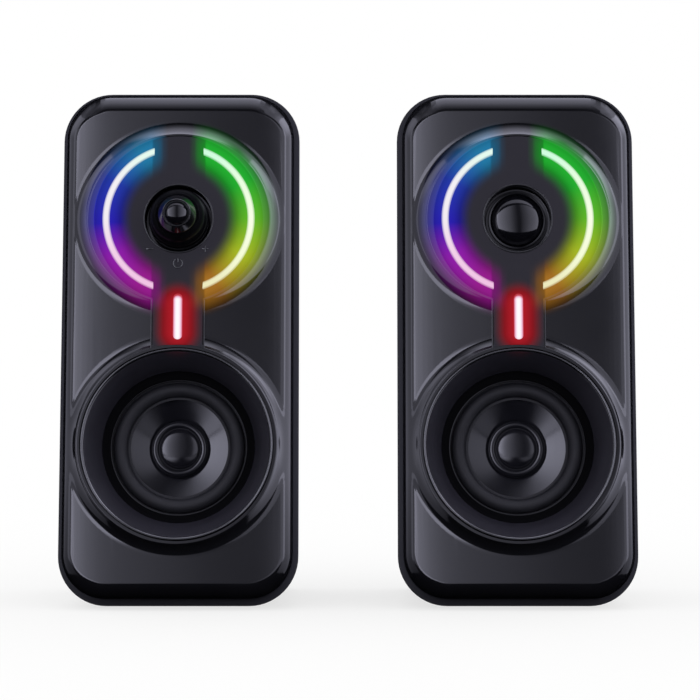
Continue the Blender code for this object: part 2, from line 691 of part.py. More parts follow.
def cable_gland(speaker):
    """A rubber gland in the rear wall, with flanges on both sides of it."""
    inner = -WALL - FIT_GAP
    profile = [
        (GLAND_BORE, FIT_GAP + GLAND_FLANGE), (GLAND_FACE_RADIUS, FIT_GAP + GLAND_FLANGE),
        (GLAND_RADIUS, FIT_GAP + GLAND_EDGE), (GLAND_RADIUS, FIT_GAP), (GLAND_NECK, FIT_GAP),
        (GLAND_NECK, inner), (GLAND_RADIUS, inner), (GLAND_RADIUS, inner - GLAND_FLANGE),
        (GLAND_BORE, inner - GLAND_FLANGE),
    ]
    place = (0.0, REAR_Y, FOOT_PROUD + GLAND_RISE)
    gland = turned(speaker["name"] + "_cable_gland", profile, speaker["cabinet"], place,
                   (-math.pi / 2, 0.0, 0.0), SMALL_SEGMENTS)
    dress(gland, "rubber")


def light_panel(speaker):
    """The smoked keyhole plate over the puck and the stem."""
    outline = keyhole(DISC_RADIUS, STEM_HALF_WIDTH, rim_foot(STEM_HALF_WIDTH, HORN_RIM + FIT_GAP))
    low = TOP_LEVEL - LIGHT_PANEL_THICKNESS
    plate = extruded(speaker["name"] + "_light_panel", outline, low, TOP_LEVEL, speaker["baffle"],
                     (0.0, DISC_RISE, 0.0))
    combine(plate, light_slots(speaker, low - CUT_MARGIN, TOP_LEVEL + CUT_MARGIN), "DIFFERENCE")
    dress(plate, "smoked_panel")


def light_guides(speaker):
    """The two light arcs and the light bar, from just over the LEDs to just proud of the panel."""
    low = PUCK_CEILING
    high = TOP_LEVEL + LIGHT_PROUD
    for word, side, finish in (("left", -1, "cool_light_guide"), ("right", 1, "warm_light_guide")):
        arc = extruded(f"{speaker['name']}_light_arc_{word}", arc_light_outline(side, 0.0), low, high,
                       speaker["baffle"], (0.0, DISC_RISE, 0.0))
        dress(arc, finish)
    bar = extruded(speaker["name"] + "_light_bar", bar_light_outline(0.0), low, high, speaker["baffle"],
                   (0.0, BAR_RISE, 0.0))
    dress(bar, "red_light_guide")


def led_board(speaker):
    """The keyhole-shaped board behind the light guides, with its LEDs."""
    back = BOARD_FRONT - BOARD_THICKNESS
    foot = straight_foot(TONGUE_HALF_WIDTH, TONGUE_END)
    outline = keyhole(PUCK_CAVITY - FIT_GAP, TONGUE_HALF_WIDTH, foot)
    disc = (0.0, DISC_RISE, 0.0)
    board = extruded(speaker["name"] + "_led_board", outline, back, BOARD_FRONT, speaker["baffle"], disc)
    hole = cylinder("board_hole", BOARD_HOLE, back - CUT_MARGIN, BOARD_FRONT + CUT_MARGIN,
                    speaker["baffle"], disc)
    combine(board, [hole], "DIFFERENCE")
    turns = [base + step * LED_SPREAD for base in (0.0, math.pi) for step in (-1, 0, 1)]
    places = [(ARC_RADIUS * math.cos(turn), DISC_RISE + ARC_RADIUS * math.sin(turn)) for turn in turns]
    places += [(0.0, BAR_RISE + side * LED_BAR_SPREAD) for side in (-1, 1)]
    square = rectangle(LED_SIZE / 2, -LED_SIZE / 2, LED_SIZE / 2)
    leds = [
        extruded("led", square, BOARD_FRONT - SOLDER_SINK, BOARD_FRONT + LED_HEIGHT, speaker["baffle"],
                 (x, y, 0.0))
        for x, y in places
    ]
    combine(board, leds, "UNION")
    dress(board, "circuit_board")


def control_well(speaker):
    """The round cup in the middle of the light disc."""
    flange_top = PUCK_CEILING - FIT_GAP
    flange_back = flange_top - WELL_FLANGE_THICKNESS
    inner = WELL_RADIUS - WELL_WALL
    hole = BUSH_RADIUS + FIT_GAP
    profile = [
        (WELL_RADIUS, WELL_TOP_LEVEL), (WELL_RADIUS, flange_top),
        (WELL_RADIUS + WELL_FLANGE_WIDTH, flange_top), (WELL_RADIUS + WELL_FLANGE_WIDTH, flange_back),
        (WELL_RADIUS, flange_back), (WELL_RADIUS, WELL_BACK_LEVEL), (hole, WELL_BACK_LEVEL),
        (hole, WELL_FLOOR_LEVEL), (inner, WELL_FLOOR_LEVEL), (inner, WELL_TOP_LEVEL),
    ]
    well = turned(speaker["name"] + "_control_well", profile, speaker["baffle"], (0.0, DISC_RISE, 0.0))
    dress(well, "gloss_black")


def blanking_dome(speaker):
    """The passive speaker's fixed dome, pegged into its well."""
    base = WELL_FLOOR_LEVEL + FIT_GAP
    shoulder = base + DOME_FLANGE
    ring = DOME_RADIUS + DOME_STEP
    flange = ring + DOME_STEP
    turns = [math.pi / 2 * (1 - step / CURVE_STEPS) for step in range(CURVE_STEPS + 1)]
    dome = [(DOME_RADIUS * math.cos(t), shoulder + DOME_STEP + DOME_RISE * math.sin(t)) for t in turns[1:]]
    profile = [
        (0.0, shoulder + DOME_STEP + DOME_RISE), *dome, (ring, shoulder + DOME_STEP / 2), (ring, shoulder),
        (flange, shoulder), (flange, base), (DOME_PEG_RADIUS, base),
        (DOME_PEG_RADIUS, base - DOME_PEG_LENGTH), (0.0, base - DOME_PEG_LENGTH),
    ]
    disc = (0.0, DISC_RISE, 0.0)
    dress(turned(speaker["name"] + "_blanking_dome", profile, speaker["baffle"], disc), "gloss_black")


def knob_profile():
    """The bell-shaped knob: a wide skirt, a drawn-in waist and a rounded top with a seat for its cap."""
    flank = KNOB_SKIRT_RADIUS - KNOB_TOP_RADIUS
    shoulder = TOP_LEVEL
    waist = KNOB_TOP_LEVEL - shoulder
    bell = [(1.0, -0.06), (0.95, 0.04), (0.52, 0.2), (0.26, 0.36), (0.1, 0.58), (0.02, 0.84), (-0.12, 0.96)]
    outside = [(KNOB_TOP_RADIUS + flank * out, shoulder + waist * up) for out, up in bell]
    rim = CAP_RADIUS + FIT_GAP
    hub_level = NUT_TOP_LEVEL + PUSH_TRAVEL + FIT_GAP
    hollow_level = KNOB_BASE_LEVEL + KNOB_HOLLOW
    hollow_radius = KNOB_SKIRT_RADIUS - KNOB_WALL
    bore = SHAFT_RADIUS + FIT_GAP
    bore_top = SHAFT_END_LEVEL + SHAFT_LENGTH + FIT_GAP
    seat = KNOB_TOP_LEVEL - CAP_SEAT
    inside = [
        (KNOB_SKIRT_RADIUS - FIT_GAP, KNOB_BASE_LEVEL), (hollow_radius, KNOB_BASE_LEVEL),
        (hollow_radius, hollow_level), (KNOB_HUB_RADIUS, hollow_level), (KNOB_HUB_RADIUS, hub_level),
        (bore, hub_level), (bore, bore_top), (0.0, bore_top),
    ]
    top = [(0.0, seat), (rim, seat), (rim, KNOB_TOP_LEVEL), (rim + KNOB_WALL / 2, KNOB_TOP_LEVEL)]
    return top + outside[::-1] + inside


def volume_control(speaker):
    """The knob, its cap and shaft on the turning axis, and the push switch's plunger behind them."""
    axis = add_empty(speaker["name"] + "_knob_axis", speaker["baffle"], (0.0, DISC_RISE, 0.0))
    dress(turned(speaker["name"] + "_volume_knob", knob_profile(), axis), "gloss_black")
    seat = KNOB_TOP_LEVEL - CAP_SEAT + FIT_GAP
    shoulder = KNOB_TOP_LEVEL - FIT_GAP
    turns = [math.pi / 2 * (1 - step / CURVE_STEPS) for step in range(CURVE_STEPS + 1)]
    dome = [(CAP_DOME_RADIUS * math.cos(t), shoulder + CAP_RISE * math.sin(t)) for t in turns[1:]]
    profile = [(0.0, shoulder + CAP_RISE), *dome, (CAP_RADIUS, shoulder), (CAP_RADIUS, seat), (0.0, seat)]
    dress(turned(speaker["name"] + "_knob_cap", profile, axis, segments=INNER_SEGMENTS), "gloss_black")
    shaft_top = SHAFT_END_LEVEL + SHAFT_LENGTH
    dress(cylinder(speaker["name"] + "_knob_shaft", SHAFT_RADIUS, SHAFT_END_LEVEL, shaft_top, axis,
                   segments=INNER_SEGMENTS), "zinc_steel")
    plunger_top = SHAFT_END_LEVEL - FIT_GAP
    dress(cylinder(speaker["name"] + "_switch_plunger", PLUNGER_RADIUS, plunger_top - PLUNGER_LENGTH,
                   plunger_top, axis, segments=SMALL_SEGMENTS), "satin_black")


def volume_encoder(speaker):
    """The fixed body of the rotary control, with its bush through the well's floor and its nut."""
    baffle = speaker["baffle"]
    disc = (0.0, DISC_RISE, 0.0)
    half = ENCODER_WIDTH / 2
    bush_top = NUT_TOP_LEVEL
    bore = SHAFT_RADIUS + FIT_GAP
    body = extruded(speaker["name"] + "_volume_encoder", rectangle(half, -half, half), ENCODER_BACK_LEVEL,
                    ENCODER_TOP_LEVEL, baffle, disc)
    combine(body, [cylinder("bush", BUSH_RADIUS, ENCODER_TOP_LEVEL - CUT_MARGIN, bush_top, baffle, disc,
                            segments=INNER_SEGMENTS)], "UNION")
    combine(body, [
        cylinder("shaft_bore", bore, ENCODER_STEP_LEVEL, bush_top + CUT_MARGIN, baffle, disc,
                 segments=INNER_SEGMENTS),
        cylinder("plunger_bore", PLUNGER_RADIUS + FIT_GAP, ENCODER_BACK_LEVEL - CUT_MARGIN,
                 ENCODER_STEP_LEVEL + CUT_MARGIN, baffle, disc, segments=SMALL_SEGMENTS),
    ], "DIFFERENCE")
    dress(body, "zinc_steel")
    hexagon = arc_points((0.0, 0.0), NUT_RADIUS, 0.0, 5 * math.pi / 3, 5)
    nut = extruded(speaker["name"] + "_encoder_nut", hexagon, NUT_TOP_LEVEL - NUT_THICKNESS, NUT_TOP_LEVEL,
                   baffle, disc)
    combine(nut, [cylinder("nut_bore", BUSH_RADIUS + FIT_GAP, WELL_BACK_LEVEL, NUT_TOP_LEVEL + CUT_MARGIN,
                           baffle, disc, segments=INNER_SEGMENTS)], "DIFFERENCE")
    dress(nut, "zinc_steel")


def amp_board(speaker):
    """The amplifier board that the encoder is soldered to, with its main parts on the back."""
    baffle = speaker["baffle"]
    front = ENCODER_BACK_LEVEL - FIT_GAP
    back = front - BOARD_THICKNESS
    middle = DISC_RISE - AMP_DROP
    outline = rectangle(AMP_WIDTH / 2, -AMP_LENGTH / 2, AMP_LENGTH / 2)
    board = extruded(speaker["name"] + "_amp_board", outline, back, front, baffle, (0.0, middle, 0.0))
    sunk = back + SOLDER_SINK
    capacitors = [
        cylinder("capacitor", CAPACITOR_RADIUS, back - CAPACITOR_HEIGHT, sunk, baffle,
                 (side * CAPACITOR_SPREAD, middle - CAPACITOR_DROP, 0.0), segments=SMALL_SEGMENTS)
        for side in (-1, 1)
    ]
    square = rectangle(CHIP_SIZE / 2, -CHIP_SIZE / 2, CHIP_SIZE / 2)
    chip = extruded("chip", square, back - CHIP_HEIGHT, sunk, baffle, (0.0, middle + CHIP_RISE, 0.0))
    combine(board, [*capacitors, chip], "UNION")
    dress(board, "circuit_board")


def horn(speaker):
    """The flared ring from the rim down to the drive unit."""
    ledge_level = TOP_LEVEL - HORN_SEAT + FIT_GAP
    floor = MOUNT_LEVEL + FIT_GAP
    outside = CUP_RADIUS - FIT_GAP
    lip = DRIVER_OPENING + FIT_GAP
    run = HORN_RADIUS - HORN_LAND - HORN_FLOOR_RADIUS
    rise = TOP_LEVEL - floor - HORN_FLOOR
    curve = [(0.0, 0.0), (0.12, 0.22), (0.4, 0.55), (0.72, 0.82), (1.0, 1.0)]
    inside = [(HORN_FLOOR_RADIUS + run * out, floor + HORN_FLOOR + rise * up) for out, up in curve]
    profile = [
        (HORN_RADIUS, TOP_LEVEL), (HORN_RADIUS, ledge_level), (outside, ledge_level),
        (HORN_FLOOR_RADIUS + HORN_WALL, floor), (lip, floor), (lip, floor + HORN_FLOOR), *inside,
    ]
    ring = turned(speaker["name"] + "_horn", profile, speaker["baffle"], (0.0, -WOOFER_DROP, 0.0))
    dress(ring, "gloss_black")


def basket(speaker, place):
    """The drive unit's pressed frame, with windows between its legs."""
    top = BASKET_TOP_LEVEL
    back = BASKET_BACK_LEVEL
    seat = SPIDER_SEAT_LEVEL
    opening = WINDING_RADIUS + BASKET_COIL_GAP
    wall_inner = BASKET_REAR_RADIUS - BASKET_GAUGE
    throat = ROLL_OUTER_RADIUS - BASKET_GAUGE
    flange_back = top - BASKET_GAUGE
    floor = back + BASKET_GAUGE
    profile = [
        (BASKET_RADIUS, top), (BASKET_RADIUS, flange_back), (throat + BASKET_GAUGE, flange_back),
        (BASKET_REAR_RADIUS, seat), (BASKET_REAR_RADIUS, back), (opening, back), (opening, floor),
        (SPIDER_REST, floor), (SPIDER_REST, seat), (wall_inner, seat), (throat, flange_back), (throat, top),
    ]
    frame = turned(speaker["name"] + "_basket", profile, speaker["baffle"], place, segments=INNER_SEGMENTS)
    middle = (flange_back + seat) / 2
    windows = []
    for number in range(BASKET_WINDOWS):
        bm = bmesh.new()
        bmesh.ops.create_cube(bm, size=1.0)
        bmesh.ops.scale(bm, vec=(BASKET_RADIUS, WINDOW_WIDTH, WINDOW_HEIGHT), verts=bm.verts)
        bmesh.ops.translate(bm, vec=(BASKET_RADIUS, 0.0, middle), verts=bm.verts)
        turn = 2 * math.pi * (number + 0.5) / BASKET_WINDOWS
        bmesh.ops.rotate(bm, matrix=Matrix.Rotation(turn, 3, "Z"), verts=bm.verts)
        windows.append(add_piece("window", bm, speaker["baffle"], place))
    combine(frame, windows, "DIFFERENCE")
    dress(frame, "zinc_steel")


def surround(speaker, place):
    """The rolled rubber edge between the frame and the cone."""
    middle = (ROLL_OUTER_RADIUS + ROLL_INNER_RADIUS) / 2
    outer = (ROLL_OUTER_RADIUS - ROLL_INNER_RADIUS) / 2
    inner = outer - SURROUND_GAUGE
    top = SURROUND_TOP_LEVEL
    back = SURROUND_BACK_LEVEL
    over = arc_points((middle, top), outer, 0.0, math.pi, CURVE_STEPS)
    under = arc_points((middle, back), inner, math.pi, 0.0, CURVE_STEPS)
    lip = ROLL_INNER_RADIUS - SURROUND_LIP
    flange = BASKET_RADIUS - FIT_GAP
    profile = [(flange, top), *over, (lip, top), (lip, back), *under, (flange, back)]
    dress(turned(speaker["name"] + "_surround", profile, speaker["baffle"], place), "rubber")


def cone_level(radius):
    """Height of the cone's front face at a radius."""
    edge = ROLL_INNER_RADIUS - SURROUND_LIP
    return CONE_NECK_LEVEL + CONE_DEPTH * (radius - CONE_NECK) / (edge - CONE_NECK)


def moving_cone(speaker, place):
    """The cone, its dust cap and its voice coil, on the stroke's axis."""
    axis = add_empty(speaker["name"] + "_cone_axis", speaker["baffle"], place)
    edge = ROLL_INNER_RADIUS - SURROUND_LIP
    outer = ROLL_INNER_RADIUS + SURROUND_GAUGE
    cone = [
        (outer, CONE_TOP_LEVEL), (edge, CONE_TOP_LEVEL), (CONE_NECK, CONE_NECK_LEVEL),
        (CONE_NECK, CONE_NECK_LEVEL - CONE_GAUGE), (edge, CONE_TOP_LEVEL - CONE_GAUGE),
        (outer, CONE_TOP_LEVEL - CONE_GAUGE),
    ]
    dress(turned(speaker["name"] + "_cone", cone, axis), "cone_film")
    dust_cap(speaker, axis)
    former_top = CONE_NECK_LEVEL - FIT_GAP
    coil_middle = PLATE_FRONT_LEVEL - PLATE_THICKNESS / 2
    coil_top = coil_middle + WINDING_LENGTH / 2
    coil_end = coil_middle - WINDING_LENGTH / 2
    coil = [
        (COIL_RADIUS, former_top), (FORMER_RADIUS, former_top), (FORMER_RADIUS, coil_top),
        (WINDING_RADIUS, coil_top), (WINDING_RADIUS, coil_end), (COIL_RADIUS, coil_end),
    ]
    dress(turned(speaker["name"] + "_voice_coil", coil, axis, segments=INNER_SEGMENTS), "copper")


def dust_cap(speaker, axis):
    """The domed cap over the cone's neck, with a raised bead round it."""
    rim = CAP_RIM_RADIUS
    bead = (rim + DUST_DOME_RADIUS) / 2
    rim_level = cone_level(rim) + FIT_GAP
    crest = rim_level + DUST_GAUGE
    root = crest - DUST_GAUGE / 2
    turns = [math.pi / 2 * (1 - step / CURVE_STEPS) for step in range(CURVE_STEPS + 1)]
    over = [(DUST_DOME_RADIUS * math.cos(t), root + DUST_DOME_RISE * math.sin(t)) for t in turns[1:]]
    under_radius = DUST_DOME_RADIUS - DUST_GAUGE / 2
    under_base = root - DUST_GAUGE
    under = [(under_radius * math.cos(t), under_base + DUST_DOME_RISE * math.sin(t)) for t in turns[1:]]
    profile = [
        (0.0, root + DUST_DOME_RISE), *over, (bead, crest), (rim, rim_level + DUST_GAUGE / 2),
        (rim, rim_level), *under[::-1], (0.0, under_base + DUST_DOME_RISE),
    ]
    dress(turned(speaker["name"] + "_dust_cap", profile, axis, segments=INNER_SEGMENTS), "cone_film")


def spider(speaker, place):
    """The corrugated centring disc between the voice coil and the frame."""
    inner = FORMER_RADIUS + FIT_GAP
    outer = BASKET_REAR_RADIUS - BASKET_GAUGE - FIT_GAP
    flat = SPIDER_REST - FIT_GAP
    base = SPIDER_SEAT_LEVEL + FIT_GAP
    count = 2 * SPIDER_WAVES + 1
    wavy = [(inner, base)]
    for step in range(1, count):
        radius = inner + (flat - inner) * step / count
        wavy.append((radius, base - SPIDER_WAVE_HEIGHT * (-1) ** step))
    wavy.append((flat, base))
    lower = [*wavy, (outer, base)]
    upper = [(radius, height + SPIDER_GAUGE) for radius, height in lower]
    dress(turned(speaker["name"] + "_spider", lower + upper[::-1], speaker["baffle"], place,
                 segments=INNER_SEGMENTS), "woven_spider")


def motor(speaker, place):
    """The magnet between its front plate and its yoke."""
    baffle = speaker["baffle"]
    plate_back = PLATE_FRONT_LEVEL - PLATE_THICKNESS
    gap_radius = WINDING_RADIUS + MAGNET_GAP
    plate = [
        (PLATE_RADIUS, PLATE_FRONT_LEVEL), (PLATE_RADIUS, plate_back), (gap_radius, plate_back),
        (gap_radius, PLATE_FRONT_LEVEL),
    ]
    top_plate = turned(speaker["name"] + "_top_plate", plate, baffle, place, segments=INNER_SEGMENTS)
    dress(top_plate, "zinc_steel")
    magnet_back = MAGNET_FRONT_LEVEL - MAGNET_THICKNESS
    magnet = [
        (MAGNET_RADIUS, MAGNET_FRONT_LEVEL), (MAGNET_RADIUS, magnet_back), (MAGNET_BORE, magnet_back),
        (MAGNET_BORE, MAGNET_FRONT_LEVEL),
    ]
    dress(turned(speaker["name"] + "_magnet", magnet, baffle, place, segments=INNER_SEGMENTS), "ferrite")
    pole = COIL_RADIUS - MAGNET_GAP
    yoke_back = YOKE_FRONT_LEVEL - PLATE_THICKNESS
    yoke = [
        (0.0, PLATE_FRONT_LEVEL), (pole, PLATE_FRONT_LEVEL), (pole, YOKE_FRONT_LEVEL),
        (PLATE_RADIUS, YOKE_FRONT_LEVEL), (PLATE_RADIUS, yoke_back), (0.0, yoke_back),
    ]
    dress(turned(speaker["name"] + "_yoke", yoke, baffle, place, segments=INNER_SEGMENTS), "zinc_steel")


def woofer(speaker):
    """The whole drive unit behind the horn."""
    place = (0.0, -WOOFER_DROP, 0.0)
    horn(speaker)
    basket(speaker, place)
    surround(speaker, place)
    moving_cone(speaker, place)
    spider(speaker, place)
    motor(speaker, place)


def build_speaker(name, side):
    """One speaker of the pair, on the left (-1) or the right (1)."""
    cabinet = add_empty(name + "_cabinet", None, (side * SPEAKER_SPACING / 2, 0.0, 0.0))
    lean = (math.pi / 2 - FACE_TILT, 0.0, 0.0)
    baffle = add_empty(name + "_baffle", cabinet, (0.0, PARTING_Y, MIDDLE_Z), lean)
    speaker = {"name": name, "cabinet": cabinet, "baffle": baffle}
    front_panel(speaker)
    rear_shell(speaker)
    feet(speaker)
    case_screws(speaker)
    cable_gland(speaker)
    light_panel(speaker)
    light_guides(speaker)
    led_board(speaker)
    control_well(speaker)
    woofer(speaker)
    return speaker


def main():
    """Builds the pair, active speaker on the left."""
    clear_scene()
    active = build_speaker("active", -1)
    volume_control(active)
    volume_encoder(active)
    amp_board(active)
    passive = build_speaker("passive", 1)
    blanking_dome(passive)


main()
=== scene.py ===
"""Looks of a pair of gloss black desktop speakers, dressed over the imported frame.

The front pieces are modelled flat, in the face's own frame: x across, y up the face and z out of it, with
z = 0 where the front moulding meets the rear one. Each is then leant back and moved to its place. The active
speaker, on the left, is modelled first, and what the passive one shares with it is copied.
"""

import json
import logging
import math
from dataclasses import dataclass, field, fields, replace
from enum import Enum
from typing import Any, Callable, Sequence

import bpy
from mathutils import Matrix, Vector
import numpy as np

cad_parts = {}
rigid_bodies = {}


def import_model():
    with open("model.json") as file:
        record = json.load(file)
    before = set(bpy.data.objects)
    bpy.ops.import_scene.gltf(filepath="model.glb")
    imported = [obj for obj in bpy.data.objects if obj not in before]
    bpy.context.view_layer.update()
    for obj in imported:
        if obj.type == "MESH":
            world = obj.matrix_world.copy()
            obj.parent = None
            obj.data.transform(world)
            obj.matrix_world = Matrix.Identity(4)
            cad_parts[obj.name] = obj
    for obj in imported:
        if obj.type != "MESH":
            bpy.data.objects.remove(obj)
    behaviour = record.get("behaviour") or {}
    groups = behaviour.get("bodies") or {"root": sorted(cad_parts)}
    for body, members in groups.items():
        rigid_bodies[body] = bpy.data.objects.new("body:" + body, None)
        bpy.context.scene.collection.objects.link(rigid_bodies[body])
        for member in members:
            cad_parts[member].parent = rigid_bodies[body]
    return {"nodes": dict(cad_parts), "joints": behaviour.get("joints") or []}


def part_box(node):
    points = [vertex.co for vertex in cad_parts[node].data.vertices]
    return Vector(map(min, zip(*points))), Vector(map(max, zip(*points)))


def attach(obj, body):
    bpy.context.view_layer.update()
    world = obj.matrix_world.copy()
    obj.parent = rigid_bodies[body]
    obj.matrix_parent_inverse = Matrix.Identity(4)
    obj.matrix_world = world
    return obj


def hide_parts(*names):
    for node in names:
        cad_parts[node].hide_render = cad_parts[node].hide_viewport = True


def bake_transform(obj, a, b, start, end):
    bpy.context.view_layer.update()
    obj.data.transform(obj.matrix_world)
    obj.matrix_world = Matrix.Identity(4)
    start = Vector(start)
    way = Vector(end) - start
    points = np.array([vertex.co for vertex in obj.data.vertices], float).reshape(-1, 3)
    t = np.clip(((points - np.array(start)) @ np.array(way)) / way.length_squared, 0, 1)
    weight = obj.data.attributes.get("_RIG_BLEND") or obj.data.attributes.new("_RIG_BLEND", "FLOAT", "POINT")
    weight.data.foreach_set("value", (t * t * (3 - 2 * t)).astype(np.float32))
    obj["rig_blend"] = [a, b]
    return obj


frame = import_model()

MM = 0.001
FINE_TURN = 160
SMALL_TURN = 96
MERGE_DISTANCE = 0.0005 * MM
MARGIN = 1.0 * MM
TINY = 1e-6
NOISE_SPAN = (0.3, 0.7)
WHITE = (1.0, 1.0, 1.0, 1.0)

Profile = list[tuple[float, float]]
Stops = tuple[tuple[float, str], ...]
Levelled = tuple[tuple[float, float], ...]
Piece = bpy.types.Object
Tree = bpy.types.NodeTree
Node = bpy.types.Node
Material = bpy.types.Material
Collection = bpy.types.Collection

log = logging.getLogger("speakers")
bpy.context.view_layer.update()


class Side(Enum):
    """The two speakers of the pair."""

    ACTIVE = "active"
    PASSIVE = "passive"


class Cut(Enum):
    """How one solid is worked into another."""

    ADD = "UNION"
    TAKE = "DIFFERENCE"


BOTH = (Side.ACTIVE, Side.PASSIVE)


def linear(colour: str) -> tuple[float, float, float, float]:
    """Turns an sRGB hex colour into linear light.

    Args:
        colour: The colour as #rrggbb.

    Returns:
        Red, green, blue and alpha, as a shader's socket takes them.
    """
    shares = [int(colour[place:place + 2], 16) / 255.0 for place in (1, 3, 5)]
    red, green, blue = [
        share / 12.92 if share <= 0.04045 else ((share + 0.055) / 1.055) ** 2.4
        for share in shares
    ]
    return red, green, blue, 1.0


def add_node(tree: Tree, kind: str, inputs: dict[Any, Any], **settings: Any) -> Node:
    """Adds a node with its settings, its values and its links.

    Args:
        tree: The node tree that takes the node.
        kind: The node's type name.
        inputs: A value or an output socket for each input, by the input's name or number.
        **settings: The node's own properties.

    Returns:
        The new node.
    """
    node = tree.nodes.new(kind)
    for name, value in settings.items():
        setattr(node, name, value)
    for name, value in inputs.items():
        if isinstance(value, bpy.types.NodeSocket):
            tree.links.new(value, node.inputs[name])
        else:
            node.inputs[name].default_value = value
    return node


def ramp_node(tree: Tree, factor: Any, stops: Sequence[tuple[float, str]]) -> Any:
    """Adds a colour ramp through a run of colours.

    Args:
        tree: The node tree that takes the ramp.
        factor: The socket that runs along the ramp.
        stops: The place of each colour on the ramp and its hex value.

    Returns:
        The ramp's colour socket.
    """
    node = add_node(tree, "ShaderNodeValToRGB", {"Fac": factor})
    elements = node.color_ramp.elements
    while len(elements) < len(stops):
        elements.new(1.0)
    for element, (place, colour) in zip(elements, stops):
        element.position = place
        element.color = linear(colour)
    return node.outputs["Color"]


def maths(tree: Tree, operation: str, *values: Any) -> Any:
    """Adds a sum of values or sockets, and gives its socket."""
    return add_node(tree, "ShaderNodeMath", dict(enumerate(values)), operation=operation).outputs[0]


def mixed(tree: Tree, share: Any, first: Any, second: Any) -> Any:
    """Adds a mix of two colours, and gives its socket."""
    return add_node(tree, "ShaderNodeMix", {0: share, 6: first, 7: second}, data_type="RGBA").outputs[2]


def ranged(tree: Tree, value: Any, source: tuple[float, float],
           target: tuple[float, float] = (0.0, 1.0), curve: str = "LINEAR") -> Any:
    """Adds a value's place in one range, moved to another range, and gives its socket."""
    inputs = dict(zip(("Value", "From Min", "From Max", "To Min", "To Max"), (value, *source, *target)))
    return add_node(tree, "ShaderNodeMapRange", inputs, interpolation_type=curve).outputs[0]


def flat_length(tree: Tree, x: Any, y: Any) -> Any:
    """Adds the length of a flat arrow, and gives its socket."""
    flat = add_node(tree, "ShaderNodeCombineXYZ", {"X": x, "Y": y}).outputs[0]
    return add_node(tree, "ShaderNodeVectorMath", {0: flat}, operation="LENGTH").outputs["Value"]


def mm(*points: tuple[float, float]) -> Profile:
    """Turns points in millimetres into metres."""
    return [(across * MM, level * MM) for across, level in points]


def eased(points: Sequence[tuple[float, float]], reach: float, steps: int = 5) -> Profile:
    """Rounds the inner corners of a run of points.

    Args:
        points: The corners, in order.
        reach: How far from a corner its rounding begins, at most half of the edge.
        steps: The number of edges along each rounding.

    Returns:
        The rounded run, with its two ends kept.
    """
    corners = [Vector(point) for point in points]
    run = [corners[0]]
    for before, corner, after in zip(corners, corners[1:], corners[2:]):
        inward = (before - corner).normalized() * min(reach, (before - corner).length / 2)
        onward = (after - corner).normalized() * min(reach, (after - corner).length / 2)
        for step in range(steps + 1):
            share = step / steps
            run.append(corner + inward * (1 - share) ** 2 + onward * share ** 2)
    run.append(corners[-1])
    return [(point.x, point.y) for point in run]


def dome_profile(radius: float, base: float, apex: float, steps: int = 14) -> Profile:
    """Gives a quarter ellipse from a dome's edge to its top, as radius and level."""
    angles = [math.pi / 2 * step / steps for step in range(steps + 1)]
    return [(radius * math.cos(angle), base + (apex - base) * math.sin(angle)) for angle in angles]


def start_piece(name: str) -> Piece:
    """Names the primitive that was just added and opens it in edit mode."""
    piece = bpy.context.object
    piece.name = name
    bpy.ops.object.mode_set(mode="EDIT")
    bpy.ops.mesh.select_mode(type="VERT")
    bpy.ops.mesh.select_all(action="SELECT")
    return piece


def close_piece() -> None:
    """Merges the open mesh's doubles, turns its faces outwards and leaves edit mode."""
    bpy.ops.mesh.select_all(action="SELECT")
    bpy.ops.mesh.remove_doubles(threshold=MERGE_DISTANCE)
    bpy.ops.mesh.normals_make_consistent(inside=False)
    bpy.ops.object.mode_set(mode="OBJECT")


def fill_open() -> None:
    """Closes the open edges of the mesh that is open in edit mode."""
    bpy.ops.mesh.select_mode(type="EDGE")
    bpy.ops.mesh.select_all(action="DESELECT")
    bpy.ops.mesh.select_non_manifold()
    bpy.ops.mesh.edge_face_add()


def round_over(width: float, height: float, degrees: Sequence[float]) -> None:
    """Rounds the edge of the selected face of the open mesh, one inset at a time.

    Args:
        width: How far in the rounding reaches.
        height: How far it rises.
        degrees: The angles of its steps, from 0 to 90.
    """
    angles = [math.radians(angle) for angle in degrees]
    for last, angle in zip(angles, angles[1:]):
        bpy.ops.mesh.inset(thickness=width * (math.cos(last) - math.cos(angle)),
                           depth=height * (math.sin(angle) - math.sin(last)))


def pick(piece: Piece) -> None:
    """Selects one object and makes it the active one."""
    bpy.ops.object.select_all(action="DESELECT")
    piece.select_set(True)
    bpy.context.view_layer.objects.active = piece


def reopen(piece: Piece) -> None:
    """Opens a piece in edit mode with its whole mesh selected."""
    pick(piece)
    bpy.ops.object.mode_set(mode="EDIT")
    bpy.ops.mesh.select_all(action="SELECT")


def choose(piece: Piece, test: Callable[[Vector, Vector], bool]) -> None:
    """Selects faces of the mesh that is open in edit mode, by their place and normal.

    Args:
        piece: The object in edit mode.
        test: Says of a face's middle and normal whether it is wanted.
    """
    bpy.ops.mesh.select_mode(type="FACE")
    bpy.ops.mesh.select_all(action="DESELECT")
    bpy.ops.object.mode_set(mode="OBJECT")
    for face in piece.data.polygons:
        face.select = test(face.center, face.normal)
    bpy.ops.object.mode_set(mode="EDIT")


